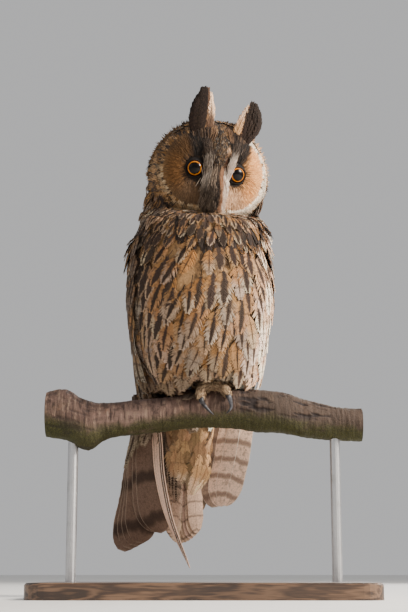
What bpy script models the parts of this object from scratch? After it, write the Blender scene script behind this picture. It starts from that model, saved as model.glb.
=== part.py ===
"""Long-eared owl, life size, standing on one leg on a short cut branch that a plain display stand holds up.

Lengths are in millimetres and become metres in mesh_object. +Z is up, the origin is the middle of the
base's underside, and the bird faces -Y. Heights called H are counted from the middle of the branch.
"""
import math
import random

import bmesh
import bpy
from mathutils import Matrix, Vector

MM = 0.001
GAP = 0.3
WELD = 0.002

# The stand and the branch
BASE_LENGTH, BASE_DEPTH, BASE_THICKNESS = 256.0, 172.0, 12.0
BASE_CORNER = 16.0
BASE_EDGE = 1.5
PERCH_Y, PERCH_Z = -12.0, 143.7
PERCH_HALF_LENGTH = 122.0
ROD_RADIUS = 4.0
ROD_X = (-101.0, 101.0)

# The bird: how its body and head are turned, in degrees
BODY_TURN = 20.0
HEAD_TURN, HEAD_NOD, HEAD_TILT = 10.5, 19.0, 5.8
HEAD_MIDDLE = (2.7, 2.0, 185.2)
HEAD_HALF_WIDTH, HEAD_TOP, HEAD_CHIN = 47.8, 48.0, 40.0
FACE_DEPTH, NAPE_DEPTH = 37.0, 44.0
EYE_X, EYE_Z = 15.8, 8.8
EYE_RADIUS = 9.0
EYE_DEEP = 5.6
LID_RADIUS, LID_THICK = 7.5, 1.7
EAR_X = {-1: 14.0, 1: 16.6}
EAR_Y, EAR_Z = -17.0, 41.0
EAR_LENGTHS = {-1: 35.5, 1: 29.5}

PAINTS = {
    "plumage": ((0.33, 0.22, 0.13), 0.85, 0.0),
    "pale_plumage": ((0.62, 0.50, 0.36), 0.85, 0.0),
    "flight_feather": ((0.28, 0.20, 0.14), 0.75, 0.0),
    "tuft": ((0.08, 0.05, 0.04), 0.8, 0.0),
    "eye": ((0.90, 0.42, 0.03), 0.1, 0.0),
    "horn": ((0.05, 0.045, 0.05), 0.35, 0.0),
    "toe": ((0.55, 0.42, 0.28), 0.85, 0.0),
    "bark": ((0.20, 0.15, 0.12), 0.9, 0.0),
    "steel": ((0.60, 0.60, 0.62), 0.35, 1.0),
    "base": ((0.10, 0.07, 0.05), 0.5, 0.0),
}

BELLY_SWAY = 4.0

# Torso: height H, half width, front, back, and how much narrower the back is than the front
TORSO = (
    (143.0, 49.0, -43.0, 48.0, 0.00),
    (128.0, 52.0, -47.0, 53.0, 0.00),
    (106.0, 54.0, -50.0, 57.0, 0.00),
    (82.0, 55.0, -51.0, 58.0, 0.02),
    (60.0, 52.5, -48.0, 58.0, 0.06),
    (43.0, 50.0, -42.0, 57.0, 0.08),
    (33.0, 47.5, -35.5, 57.0, 0.12),
    (27.6, 45.5, -27.0, 56.5, 0.16),
    (25.8, 43.0, -16.0, 56.5, 0.20),
    (24.8, 39.5, -3.0, 56.5, 0.26),
    (23.0, 33.0, 9.0, 56.5, 0.30),
    (15.0, 25.0, 19.0, 56.5, 0.22),
    (0.0, 23.0, 21.5, 57.0, 0.15),
    (-14.0, 21.5, 26.0, 58.5, 0.10),
    (-26.0, 19.5, 32.0, 60.0, 0.05),
)

# Neck rings reach up into the head, which is then cut out of them
NECK = (
    (143.0 + GAP, 49.0, -42.0, 48.0, 0.0),
    (145.0, 49.0, -39.5, 48.2, 0.0),
    (148.0, 48.7, -34.0, 48.5, 0.0),
    (152.5, 48.0, -25.0, 48.5, 0.0),
    (160.0, 46.5, -14.0, 48.2, 0.0),
    (176.0, 45.0, -5.0, 47.0, 0.0),
    (192.0, 40.0, 4.0, 43.0, 0.0),
)

# Each wing is a sheet through three rails: its leading edge, middle and trailing edge, as (x, y) at each H
RIGHT_WING = (
    (141.0, (-45.0, 0.0), (-42.0, 26.0), (-18.0, 44.0)),
    (90.0, (-54.0, -2.0), (-47.0, 32.0), (-14.0, 57.0)),
    (40.0, (-45.0, 16.0), (-38.0, 42.0), (-7.0, 63.0)),
    (0.0, (-28.0, 33.0), (-34.0, 48.0), (-8.0, 66.0)),
    (-50.0, (-30.0, 38.0), (-44.0, 63.0), (-8.0, 84.0)),
)
LEFT_WING = (
    (141.0, (45.0, 4.0), (42.0, 27.0), (18.0, 44.0)),
    (90.0, (54.0, 2.0), (47.0, 32.0), (14.0, 57.0)),
    (40.0, (46.0, 16.0), (39.0, 42.0), (7.0, 63.0)),
    (0.0, (42.0, 22.0), (37.0, 48.0), (7.0, 66.0)),
    (-50.0, (42.0, 34.0), (40.0, 62.0), (8.0, 82.0)),
)
WING_CORE = 3.2
WING_CLEAR = 1.3

# Flight feathers in groups that overlap like a hand of cards. Each group: how many, the first root's share of
# the wing's width and the step to the next, the root's H, the first feather's line, the step to the next
# feather at the root and at the tip, width, and the way its front face looks
RIGHT_GROUPS = (
    (3, 0.10, 0.05, 20.0, ((-25.0, 37.0, -12.0), (-21.0, 38.0, -50.0), (-13.5, 36.0, -86.0), (0.3, 33.0, -121.0)),
     (-1.4, 3.2, 0.0), (-1.2, 3.6, 5.0), 9.5, (-0.75, -0.66, 0.0)),
    (2, 0.26, 0.07, 15.0, ((-29.0, 48.0, -20.0), (-26.0, 53.0, -55.0), (-22.5, 55.0, -76.0), (-14.0, 54.5, -92.5)),
     (-1.5, 3.4, 0.0), (-5.0, 6.0, 1.0), 18.5, (-0.6, -0.8, 0.0)),
    (4, 0.40, 0.08, 14.0, ((-30.0, 56.0, -28.0), (-28.5, 63.0, -62.0), (-28.5, 69.0, -85.0), (-27.5, 72.0, -100.0)),
     (0.5, 3.6, 0.0), (-5.2, 4.4, -2.4), 21.0, (-0.45, -0.89, 0.0)),
)
LEFT_GROUPS = (
    (3, 0.10, 0.09, 16.0, ((39.5, 23.0, -12.0), (36.5, 27.0, -36.0), (33.0, 32.0, -56.0), (31.5, 35.0, -67.0)),
     (-5.0, 5.8, 0.0), (-4.4, 5.2, -1.5), 17.5, (-0.6, -0.8, 0.0)),
    (4, 0.46, 0.11, 14.0, ((33.0, 54.0, -14.0), (24.0, 64.0, -46.0), (16.0, 71.5, -72.0), (11.5, 76.0, -86.0)),
     (-6.0, 4.0, 0.0), (-2.2, 2.4, -4.0), 18.0, (0.35, 0.94, 0.0)),
)
# Rows of coverts: how many, the H of their roots at the leading and trailing edge, length, width, lift at tip
COVERT_ROWS = (
    (5, 44.0, 36.0, 66.0, 21.0, 4.6),
    (5, 70.0, 68.0, 44.0, 21.0, 5.2),
    (5, 100.0, 98.0, 42.0, 21.0, 5.6),
    (4, 129.0, 128.0, 38.0, 23.0, 5.6),
)

# Tail: where its middle lies, and the long coverts below its root, each from root to tip with its width
TAIL_X = 4.6
UNDER_COVERTS = (
    ((-9.0, 41.0, -28.0), (-3.0, 54.0, -58.0), 15.0),
    ((10.5, 41.0, -28.0), (4.0, 54.0, -60.0), 15.0),
    ((1.0, 38.0, -28.0), (1.0, 49.0, -48.0), 15.0),
)

# Branch: along X, the height of its middle, its radius
BRANCH = (
    (-122.0, -4.5, 16.8),
    (-104.0, -6.5, 17.2),
    (-88.0, -10.6, 16.4),
    (-77.0, -9.6, 14.0),
    (-42.0, -5.6, 13.0),
    (-3.0, -0.5, 13.8),
    (24.0, 0.2, 15.2),
    (42.0, -1.8, 16.6),
    (60.0, -3.4, 16.2),
    (80.0, -7.8, 14.4),
    (101.0, -11.0, 13.0),
    (122.0, -12.0, 12.8),
)

BODY = Matrix.Translation((0.0, PERCH_Y, PERCH_Z)) @ Matrix.Rotation(math.radians(BODY_TURN), 4, "Z")
HEAD = (
    Matrix.Translation((HEAD_MIDDLE[0], PERCH_Y + HEAD_MIDDLE[1], PERCH_Z + HEAD_MIDDLE[2]))
    @ Matrix.Rotation(math.radians(HEAD_TURN), 4, "Z")
    @ Matrix.Rotation(math.radians(HEAD_NOD), 4, "X")
    @ Matrix.Rotation(math.radians(HEAD_TILT), 4, "Y")
)
STAND = Matrix.Translation((0.0, PERCH_Y, PERCH_Z))


def clear_scene():
    for item in list(bpy.data.objects):
        bpy.data.objects.remove(item)


def paint(name):
    found = bpy.data.materials.get(name)
    if found:
        return found
    colour, rough, metal = PAINTS[name]
    made = bpy.data.materials.new(name)
    made.use_nodes = True
    shader = made.node_tree.nodes["Principled BSDF"]
    shader.inputs["Base Color"].default_value = (*colour, 1.0)
    shader.inputs["Roughness"].default_value = rough
    shader.inputs["Metallic"].default_value = metal
    return made


def mesh_object(name, points, faces, paint_name, frame=None):
    """An object from points in millimetres, moved by frame, with its faces pointing out."""
    frame = frame or Matrix.Identity(4)
    mesh = bpy.data.meshes.new(name)
    mesh.from_pydata([(frame @ Vector(p)) * MM for p in points], [], faces)
    work = bmesh.new()
    work.from_mesh(mesh)
    bmesh.ops.recalc_face_normals(work, faces=work.faces)
    if work.calc_volume(signed=True) < 0:
        bmesh.ops.reverse_faces(work, faces=work.faces)
    work.to_mesh(mesh)
    work.free()
    mesh.shade_smooth()
    mesh.materials.append(paint(paint_name))
    made = bpy.data.objects.new(name, mesh)
    bpy.context.scene.collection.objects.link(made)
    return made


def loft(name, rings, paint_name, frame=None):
    """A closed body through rings of points, with a fan at each end."""
    count = len(rings[0])
    points = [p for ring in rings for p in ring]
    faces = []
    for row in range(len(rings) - 1):
        for k in range(count):
            a, b = row * count + k, row * count + (k + 1) % count
            faces += [(a, b, b + count), (a, b + count, a + count)]
    for ring, first in ((rings[0], 0), (rings[-1], (len(rings) - 1) * count)):
        middle = sum((Vector(p) for p in ring), Vector()) / count
        points.append(middle)
        faces += [(len(points) - 1, first + (k + 1) % count, first + k) for k in range(count)]
    return mesh_object(name, points, faces, paint_name, frame)


def evaluated_mesh(item):
    graph = bpy.context.evaluated_depsgraph_get()
    return bpy.data.meshes.new_from_object(item.evaluated_get(graph), depsgraph=graph)


def drop(item):
    bpy.data.objects.remove(item)


def apply_modifiers(item):
    mesh = evaluated_mesh(item)
    item.modifiers.clear()
    item.data = mesh
    return item


def fuse(item, pieces):
    """Joins closed pieces to item with one Boolean union, then removes them."""
    group = bpy.data.collections.new(item.name + "_pieces")
    bpy.context.scene.collection.children.link(group)
    for piece in pieces:
        group.objects.link(piece)
    union = item.modifiers.new("union", "BOOLEAN")
    union.operation = "UNION"
    union.solver = "MANIFOLD"
    union.operand_type = "COLLECTION"
    union.collection = group
    apply_modifiers(item)
    for piece in pieces:
        drop(piece)
    bpy.data.collections.remove(group)
    return keep_largest(item)


def cut(item, cutter, grow=GAP):
    """Takes cutter, grown by the gap that touching pieces keep, out of item."""
    tool = bpy.data.objects.new("cutter", evaluated_mesh(cutter))
    bpy.context.scene.collection.objects.link(tool)
    work = bmesh.new()
    work.from_mesh(tool.data)
    work.normal_update()
    moves = [(v, v.normal.copy() * v.calc_shell_factor()) for v in work.verts]
    for vertex, move in moves:
        if move.length > 1.6:
            move = move.normalized() * 1.6
        vertex.co += move * grow * MM
    work.to_mesh(tool.data)
    work.free()
    difference = item.modifiers.new("cut", "BOOLEAN")
    difference.operation = "DIFFERENCE"
    difference.solver = "MANIFOLD"
    difference.object = tool
    apply_modifiers(item)
    drop(tool)
    return keep_largest(item)


def keep_largest(item):
    """Keeps the closed surface with the most volume."""
    work = bmesh.new()
    work.from_mesh(item.data)
    bmesh.ops.triangulate(work, faces=work.faces)
    left = set(work.faces)
    shells = []
    while left:
        front = [left.pop()]
        shell = list(front)
        while front:
            face = front.pop()
            for edge in face.edges:
                for other in edge.link_faces:
                    if other in left:
                        left.remove(other)
                        front.append(other)
                        shell.append(other)
        shells.append(shell)

    def volume(shell):
        return abs(sum(f.verts[0].co.dot(f.verts[1].co.cross(f.verts[2].co)) for f in shell))

    shells.sort(key=volume, reverse=True)
    loose = [f for shell in shells[1:] for f in shell]
    bmesh.ops.delete(work, geom=loose, context="FACES")
    bmesh.ops.remove_doubles(work, verts=work.verts, dist=WELD * MM)
    bmesh.ops.dissolve_degenerate(work, edges=work.edges, dist=WELD * MM)
    bmesh.ops.triangulate(work, faces=work.faces)
    work.to_mesh(item.data)
    work.free()
    return item


def at_height(table, height):
    """The row of a table at a height, by a smooth curve through its rows. Values may be numbers or (x, y)."""
    rows = sorted(table, key=lambda row: row[0])
    height = min(max(height, rows[0][0]), rows[-1][0])
    k = max(i for i in range(len(rows) - 1) if rows[i][0] <= height)
    low, high = rows[k], rows[k + 1]
    before, after = rows[max(k - 1, 0)], rows[min(k + 2, len(rows) - 1)]
    span = high[0] - low[0]
    t = (height - low[0]) / span

    def blend(p0, p1, p2, p3):
        m1 = (p2 - p0) / max(high[0] - before[0], 1e-6) * span
        m2 = (p3 - p1) / max(after[0] - low[0], 1e-6) * span
        return (
            (2 * t**3 - 3 * t**2 + 1) * p1
            + (t**3 - 2 * t**2 + t) * m1
            + (3 * t**2 - 2 * t**3) * p2
            + (t**3 - t**2) * m2
        )

    values = []
    for p0, p1, p2, p3 in zip(before[1:], low[1:], high[1:], after[1:]):
        if isinstance(p1, tuple):
            values.append(tuple(blend(*four) for four in zip(p0, p1, p2, p3)))
        else:
            values.append(blend(p0, p1, p2, p3))
    return values


def sway(height):
    """How far the belly stands out to the bird's left, where its flank is fuller."""
    return BELLY_SWAY * math.exp(-(((height - 30.0) / 14.0) ** 2))


def body_ring(table, height, count):
    """One level ring of the body: an oval, narrower at the back where the table says so."""
    width, front, back, narrow = at_height(table, height)
    middle, depth = (front + back) / 2, (back - front) / 2
    ring = []
    for k in range(count):
        a = 2 * math.pi * k / count
        side = width * (1 - narrow * (1 - math.cos(a)) / 2)
        ring.append((side * math.sin(a) + sway(height), middle - depth * math.cos(a), height))
    return ring


def vane(name, line, normals, widths, paint_name, thick=0.9, crown=0.8, tip_thick=0.6):
    """One feather: a thin crowned slab along line, alike on both faces, with a shaft's ridge in its crown."""
    across = (-1.0, 0.0, 1.0)
    count = len(line)
    tops, bottoms = [], []
    for k in range(count):
        ahead = line[min(k + 1, count - 1)] - line[max(k - 1, 0)]
        normal = normals[k].normalized()
        side = ahead.cross(normal).normalized()
        half_thick = 0.5 * (thick + (tip_thick - thick) * k / (count - 1))
        for s in across:
            middle = line[k] + side * s * widths[k] / 2 + normal * crown * (1 - s * s)
            slim = half_thick * (1.0 if s == 0 else 0.75)
            tops.append(middle + normal * slim)
            bottoms.append(middle - normal * slim)
    points = tops + bottoms
    under = len(tops)
    row = len(across)
    faces = []
    for k in range(count - 1):
        for j in range(row - 1):
            a = k * row + j
            faces += [(a, a + 1, a + row + 1), (a, a + row + 1, a + row)]
            faces += [(under + a, under + a + row + 1, under + a + 1), (under + a, under + a + row, under + a + row + 1)]
        for j, turn in ((0, 1), (row - 1, -1)):
            a, b = k * row + j, (k + 1) * row + j
            quad = (a, b, under + b, under + a)[::turn]
            faces += [(quad[0], quad[1], quad[2]), (quad[0], quad[2], quad[3])]
    for k, turn in ((0, -1), (count - 1, 1)):
        for j in range(row - 1):
            a = k * row + j
            quad = (a, a + 1, under + a + 1, under + a)[::turn]
            faces += [(quad[0], quad[1], quad[2]), (quad[0], quad[2], quad[3])]
    return mesh_object(name, points, faces, paint_name, BODY)


def rounded(width, steps, root=0.55):
    """Widths along a feather: narrow at the root, full, then a rounded tip."""
    widths = []
    for k in range(steps):
        t = k / (steps - 1)
        swell = root + (1 - root) * min(1.0, t / 0.35)
        end = math.sqrt(max(0.0, 1 - max(0.0, (t - 0.72) / 0.29) ** 2))
        widths.append(width * swell * max(end, 0.24))
    return widths


def clear_of_torso(x, y, height):
    """The point (x, y), moved straight out from the body's middle until it clears the torso."""
    width, front, back, narrow = at_height(TORSO, height)
    middle, depth = (front + back) / 2, (back - front) / 2
    x0 = sway(height)
    bearing = math.atan2(abs(x - x0), middle - y)
    low, high = 0.0, math.pi
    for _ in range(24):
        a = (low + high) / 2
        side = width * (1 - narrow * (1 - math.cos(a)) / 2) * math.sin(a)
        if math.atan2(side, depth * math.cos(a)) < bearing:
            low = a
        else:
            high = a
    surface = math.hypot(side, depth * math.cos(a)) + WING_CLEAR
    here = math.hypot(x - x0, y - middle)
    grow = max(1.0, surface / here)
    return Vector((x0 + (x - x0) * grow, middle + (y - middle) * grow, height))


def sheet_point(wing, share, height, lift):
    """A point on a wing's sheet, lifted off it: share 0 is the leading edge and 1 the trailing edge."""

    def flat(s, h):
        lead, middle, trail = (Vector(p) for p in at_height(wing, h))
        point = lead * (1 - s) * (1 - 2 * s) + middle * 4 * s * (1 - s) + trail * s * (2 * s - 1)
        return clear_of_torso(point.x, point.y, h)

    step = 0.02
    here = flat(share, height)
    along = flat(share + step, height) - flat(share - step, height)
    down = flat(share, height - 2.0) - flat(share, height + 2.0)
    normal = along.cross(down).normalized()
    if normal.dot(Vector((here.x, here.y - 20.0, 0.0))) < 0:
        normal = -normal
    return here + normal * lift, normal


def sheet_vane(wing, name, root, tip, width, lifts, paint_name, tilt=0.0, steps=6, crown=0.8):
    """A feather on a wing's sheet from root to tip, both (share, height), with lift at its root and tip."""
    line, normals = [], []
    for k in range(steps):
        t = k / (steps - 1)
        share = root[0] + (tip[0] - root[0]) * t
        height = root[1] + (tip[1] - root[1]) * t
        point, normal = sheet_point(wing, share, height, lifts[0] + (lifts[1] - lifts[0]) * t)
        line.append(point)
        normals.append(normal)
    turned = []
    for k in range(steps):
        ahead = (line[min(k + 1, steps - 1)] - line[max(k - 1, 0)]).normalized()
        turned.append(Matrix.Rotation(math.radians(tilt), 3, ahead) @ normals[k])
    return vane(name, line, turned, rounded(width, steps), paint_name, crown=crown)


def wing_core(wing, name, low, high, shares):
    """The plate of flesh and small feathers that a wing's vanes grow from."""
    across, down = 6, 7
    shells = []
    for lift in (0.0, WING_CORE):
        grid = []
        for row in range(down):
            height = high + (low - high) * row / (down - 1)
            for k in range(across):
                share = shares[0] + (shares[1] - shares[0]) * k / (across - 1)
                edge = 0.0 if 0 < k < across - 1 and 0 < row < down - 1 else 0.9
                reach = max(0.0, lift - edge)
                grid.append(sheet_point(wing, share, height, reach)[0])
        shells.append(grid)
    points = shells[0] + shells[1]
    other = len(shells[0])
    faces = []
    for row in range(down - 1):
        for k in range(across - 1):
            a, b = row * across + k, row * across + k + 1
            c, d = a + across, b + across
            faces += [(a, b, d), (a, d, c), (other + a, other + d, other + b), (other + a, other + c, other + d)]
    rim = [k for k in range(across)]
    rim += [row * across + across - 1 for row in range(1, down)]
    rim += [(down - 1) * across + k for k in range(across - 2, -1, -1)]
    rim += [row * across for row in range(down - 2, 0, -1)]
    for k in range(len(rim)):
        a, b = rim[k], rim[(k + 1) % len(rim)]
        faces += [(a, other + a, other + b), (a, other + b, b)]
    return mesh_object(name, points, faces, "plumage", BODY)


def build_torso():
    heights = [143, 132, 120, 106, 90, 74, 60, 50, 42, 36, 31.5, 28.5, 26.6, 25.4, 24.8, 23, 19, 15, 4, -10, -26]
    return loft("torso", [body_ring(TORSO, h, 24) for h in heights], "plumage", BODY)


def build_neck(head):
    heights = [143 + GAP, 145, 148, 152.5, 160, 176, 192]
    neck = loft("neck", [body_ring(NECK, h, 24) for h in heights], "plumage", BODY)
    return cut(neck, head)


def face_relief(x, z):
    """How far the face stands forward of its plain curve: two dished discs, their rims and the ridge between."""
    relief = 0.0
    for side in (-1, 1):
        from_eye = math.hypot((x - side * EYE_X) / 1.0, (z - EYE_Z) / 1.15)
        relief -= 5.0 * math.exp(-((from_eye / 19.0) ** 2))
        if x * side > 0:
            relief += 2.4 * math.exp(-(((from_eye - 31.0) / 4.0) ** 2))
    below = min(1.0, max(0.0, (34.0 - z) / 30.0))
    ridge = 6.5 * math.exp(-((x / (5.0 + 3.0 * below)) ** 2)) * (0.35 + 0.65 * below)
    if z < -22:
        ridge *= max(0.0, 1 - (-22 - z) / 14.0)
    return relief + ridge


def head_point(reach, turn):
    """A point of the head: reach runs 0 at the middle of the face, 1 at the rim, 2 at the nape."""
    near = reach if reach <= 1 else 2 - reach
    radial = math.sin(near * math.pi / 2) ** (0.9 if reach <= 1 else 1.0)
    x = HEAD_HALF_WIDTH * radial * math.cos(turn)
    tall = HEAD_TOP if math.sin(turn) > 0 else HEAD_CHIN
    z = tall * radial * math.sin(turn)
    if reach <= 1:
        depth = FACE_DEPTH * (1 - radial**3.0) ** 0.62
        return (x, -depth - face_relief(x, z) * (1 - radial**6), z)
    return (x, NAPE_DEPTH * math.cos(near * math.pi / 2) ** 0.92, z)


def build_head():
    count = 30
    front = [0.09, 0.18, 0.27, 0.36, 0.45, 0.54, 0.64, 0.75, 0.87, 1.0]
    back = [1.15, 1.34, 1.56, 1.8]
    rings = [[head_point(r, 2 * math.pi * k / count) for k in range(count)] for r in front + back]
    head = loft("head", rings, "plumage", HEAD)
    lids = [build_lid(side) for side in (-1, 1)]
    return fuse(head, lids)


def eye_middle(side):
    """The middle of an eyeball, in the head's own frame: it sits a little way behind the disc's dish."""
    dish = head_front(side * EYE_X, EYE_Z)
    return Vector((side * EYE_X, dish + EYE_DEEP, EYE_Z))


def head_front(x, z):
    """Y of the face at x, z."""
    tall = HEAD_TOP if z > 0 else HEAD_CHIN
    radial = min(1.0, math.hypot(x / HEAD_HALF_WIDTH, z / tall))
    depth = FACE_DEPTH * (1 - radial**3.0) ** 0.62
    return -depth - face_relief(x, z) * (1 - radial**6)


def build_lid(side):
    """A ring of eyelid round the eye's opening, sunk into the disc."""
    middle = eye_middle(side)
    around, section = 14, 5
    axis = Vector((side * 0.22, -1.0, 0.0)).normalized()
    across = axis.cross(Vector((0, 0, 1))).normalized()
    up = across.cross(axis).normalized()
    forward = math.sqrt(EYE_RADIUS**2 - LID_RADIUS**2) + 0.6
    rings = []
    for k in range(around):
        a = 2 * math.pi * k / around
        out = across * math.cos(a) + up * math.sin(a)
        core = middle + axis * forward + out * (LID_RADIUS + LID_THICK * 0.4)
        ring = []
        for j in range(section):
            b = 2 * math.pi * j / section
            ring.append(core + out * LID_THICK * math.cos(b) * 1.2 + axis * LID_THICK * math.sin(b))
        rings.append(ring)
    points = [p for ring in rings for p in ring]
    faces = []
    for k in range(around):
        for j in range(section):
            a = k * section + j
            b = k * section + (j + 1) % section
            c = ((k + 1) % around) * section + j
            d = ((k + 1) % around) * section + (j + 1) % section
            faces += [(a, b, d), (a, d, c)]
    return mesh_object("lid", points, faces, "plumage", HEAD)


def build_eye(side, name):
    middle = eye_middle(side)
    rings = []
    for row in range(1, 8):
        a = math.pi * row / 8
        ring = []
        for k in range(16):
            b = 2 * math.pi * k / 16
            out = EYE_RADIUS * math.sin(a)
            ring.append(middle + Vector((out * math.cos(b), -EYE_RADIUS * math.cos(a), out * math.sin(b))))
        rings.append(ring)
    return loft(name, rings, "eye", HEAD)


def tube(name, line, radii, paint_name, frame, sides=8, flat=1.0, up=Vector((0, 0, 1))):
    """A closed body round a line, its section squashed by flat along up."""
    rings = []
    for k, point in enumerate(line):
        ahead = (line[min(k + 1, len(line) - 1)] - line[max(k - 1, 0)]).normalized()
        across = ahead.cross(up)
        across = across.normalized() if across.length > 1e-3 else Vector((1, 0, 0))
        rise = across.cross(ahead).normalized()
        rings.append(
            [
                point
                + across * radii[k] * math.cos(2 * math.pi * j / sides)
                + rise * radii[k] * flat * math.sin(2 * math.pi * j / sides)
                for j in range(sides)
            ]
        )
    return loft(name, rings, paint_name, frame)


def build_bill(head):
    """The hooked upper bill with its nostrils, and the lower bill under the line of the mouth."""
    root = head_front(0.0, -8.0)
    upper_line = [
        Vector((0, root + 7, -4.0)),
        Vector((0, root - 0.5, -5.5)),
        Vector((0, root - 4.0, -8.5)),
        Vector((0, root - 5.8, -13.0)),
        Vector((0, root - 5.6, -17.6)),
        Vector((0, root - 4.2, -21.4)),
        Vector((0, root - 2.6, -23.8)),
    ]
    upper = tube("bill_upper", upper_line, [4.6, 4.5, 4.2, 3.5, 2.5, 1.4, 0.5], "horn", HEAD, 10, 1.0, Vector((0, -1, 0.3)))
    for side in (-1, 1):
        pit = [Vector((side * 6.5, root - 5.5, -7.0)), Vector((side * 3.4, root - 4.2, -8.2))]
        nostril = tube("nostril", pit, [0.9, 0.9], "horn", HEAD, 6)
        cut(upper, nostril, 0.0)
        drop(nostril)
    lower_line = [
        Vector((0, root + 6.0, -13.0)),
        Vector((0, root + 1.0, -15.0)),
        Vector((0, root - 1.4, -18.2)),
        Vector((0, root - 1.9, -20.8)),
    ]
    lower = tube("bill_lower", lower_line, [3.6, 3.4, 2.6, 0.8], "horn", HEAD, 8, 0.8, Vector((0, -1, 0.3)))
    cut(upper, head)
    cut(lower, head)
    cut(lower, upper)
    return upper, lower


def build_ear(side, name, head):
    """An ear tuft: long narrow feathers that grow in a bunch from the brow and curve back at the tips."""
    count = 5
    root_middle = Vector((side * EAR_X[side], EAR_Y, EAR_Z))
    pieces = []
    for k in range(count):
        fan = k / (count - 1) - 0.5
        reach = EAR_LENGTHS[side] * (1.0 - 0.5 * abs(fan) ** 1.3)
        root = root_middle + Vector((fan * 8.0, (k % 2) * 2.4 - 1.2, -4.0))
        line, normals, widths = [], [], []
        for j in range(4):
            t = j / 3
            bow = side * 7.0 * math.sin(t * math.pi * 0.55) * (1.0 if side > 0 else 0.25)
            line.append(root + Vector((bow + fan * 6.0 * math.sin(t * math.pi) * 0.7, 3.0 * t * t, reach * t)))
            normals.append(Vector((side * 0.2, -1.0, 0.12)))
            widths.append(6.6 * (0.8 + 0.8 * t - 1.35 * t**2.4) + 0.4)
        pieces.append(head_vane("plume", line, normals, widths))
    core_line = [
        root_middle + Vector((0, 0, -8)),
        root_middle + Vector((0, 0.2, 1)),
        root_middle + Vector((side * 1.0, 0.6, 10)),
    ]
    ear = tube(name, core_line, [6.5, 5.6, 2.4], "tuft", HEAD, 10, 0.7, Vector((0, -1, 0)))
    fuse(ear, pieces)
    return cut(ear, head)


def head_vane(name, line, normals, widths):
    made = vane(name, line, normals, widths, "tuft", 0.9, 0.7)
    made.data.transform(Matrix.Scale(1 / MM, 4))
    made.data.transform(BODY.inverted())
    made.data.transform(HEAD)
    made.data.transform(Matrix.Scale(MM, 4))
    return made


def group_vanes(wing, group):
    """The overlapping flight feathers of one group, each from its root in the wing's core to its tip."""
    count, share, share_step, height, line, root_step, tip_step, width, facing = group
    made = []
    for k in range(count):
        root, _ = sheet_point(wing, share + share_step * k, height, WING_CORE / 2)
        points = [root]
        for j, point in enumerate(line):
            t = j / (len(line) - 1)
            step = Vector(root_step) * (1 - t) + Vector(tip_step) * t
            points.append(Vector(point) + step * k)
        curve = curve_through(points, 2)
        curve = curve[:-1:2] + curve[-2:]
        normals = [Vector(facing) for _ in curve]
        made.append(vane("flight", curve, normals, rounded(width, len(curve), 0.8), "flight_feather"))
    return made


def build_wing(name, wing, groups, tilt):
    """A folded wing: its core, the flight feathers that hang below the branch, and four tiers of coverts."""
    made = wing_core(wing, name, -6.0, 134.0, (0.02, 0.97))
    pieces = []
    for group in groups:
        pieces += group_vanes(wing, group)
    for count, lead_height, trail_height, length, width, lift in COVERT_ROWS:
        for k in range(count):
            t = (k + 0.5) / count
            share = 0.03 + 0.91 * t
            top = lead_height + (trail_height - lead_height) * t + draw.uniform(-1.5, 1.5)
            reach = length * draw.uniform(0.94, 1.06)
            root, tip = (share, top), (share, top - reach)
            pieces.append(sheet_vane(wing, "covert", root, tip, width, (2.2, lift), "plumage", tilt, 4))
    return fuse(made, pieces)


def build_tail():
    """Twelve tail feathers in two overlapping halves, with long pale coverts under their roots."""
    rings = []
    for height, half_width, front, back in ((-26.0 - GAP, 18.5, 34.0, 59.0), (-36.0, 15.0, 43.0, 62.0), (-46.0, 9.0, 54.0, 65.0)):
        ring = []
        for k in range(14):
            a = 2 * math.pi * k / 14
            ring.append((TAIL_X * 0.5 + half_width * math.sin(a), (front + back) / 2 - (back - front) / 2 * math.cos(a), height))
        rings.append(ring)
    tail = loft("tail", rings, "plumage", BODY)
    pieces = []
    for k in range(12):
        place = (k - 5.5) / 5.5
        length = 67.0 - 8.0 * place * place
        layer = abs(place) * 8.4 - (0.76 if place < 0 else 0.0)
        line, normals = [], []
        for j in range(4):
            t = j / 3
            y = 62.0 + 8.5 * t - layer * (0.5 + 0.5 * t)
            line.append(Vector((TAIL_X + place * (7.0 + 4.5 * t), y, -34.0 - length * t)))
            normals.append(Vector((place * 0.12, -1.0, -0.1)))
        pieces.append(vane("rectrix", line, normals, rounded(14.0, 4, 0.75), "flight_feather", 0.8, 0.3))
    for root, tip, width in UNDER_COVERTS:
        line = [Vector(root).lerp(Vector(tip), t) + Vector((0, -3.0 * math.sin(math.pi * t), 0)) for t in (0, 0.3, 0.65, 1)]
        normals = [Vector((0.0, -1.0, -0.25)) for _ in line]
        pieces.append(vane("under_covert", line, normals, rounded(width, 4, 0.85), "pale_plumage", 1.1, 2.2))
    return fuse(tail, pieces)


def perch_axis(x):
    """The branch's middle and radius at x, in the stand's frame."""
    height, radius = at_height(BRANCH, x)
    return Vector((x, 0.0, height)), radius


def build_perch():
    """The cut branch: round, a little uneven, with a knot below and a low swelling above."""
    around, along = 14, 24
    rings = []
    for row in range(along):
        x = -PERCH_HALF_LENGTH + 2 * PERCH_HALF_LENGTH * row / (along - 1)
        middle, radius = perch_axis(x)
        ring = []
        for k in range(around):
            a = 2 * math.pi * k / around
            knot = 5.5 * math.exp(-(((x + 91) / 12) ** 2)) * max(0.0, -math.sin(a)) ** 2
            swell = 3.5 * math.exp(-(((x + 112) / 9) ** 2)) * max(0.0, math.sin(a)) ** 2
            ripple = 0.35 * math.sin(3 * a + x * 0.05) + 0.3 * math.sin(2 * a - x * 0.09)
            r = radius + knot + swell + ripple
            ring.append(middle + Vector((0.0, r * math.cos(a), r * math.sin(a))))
        rings.append(ring)
    return loft("perch", rings, "bark", STAND)


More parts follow.
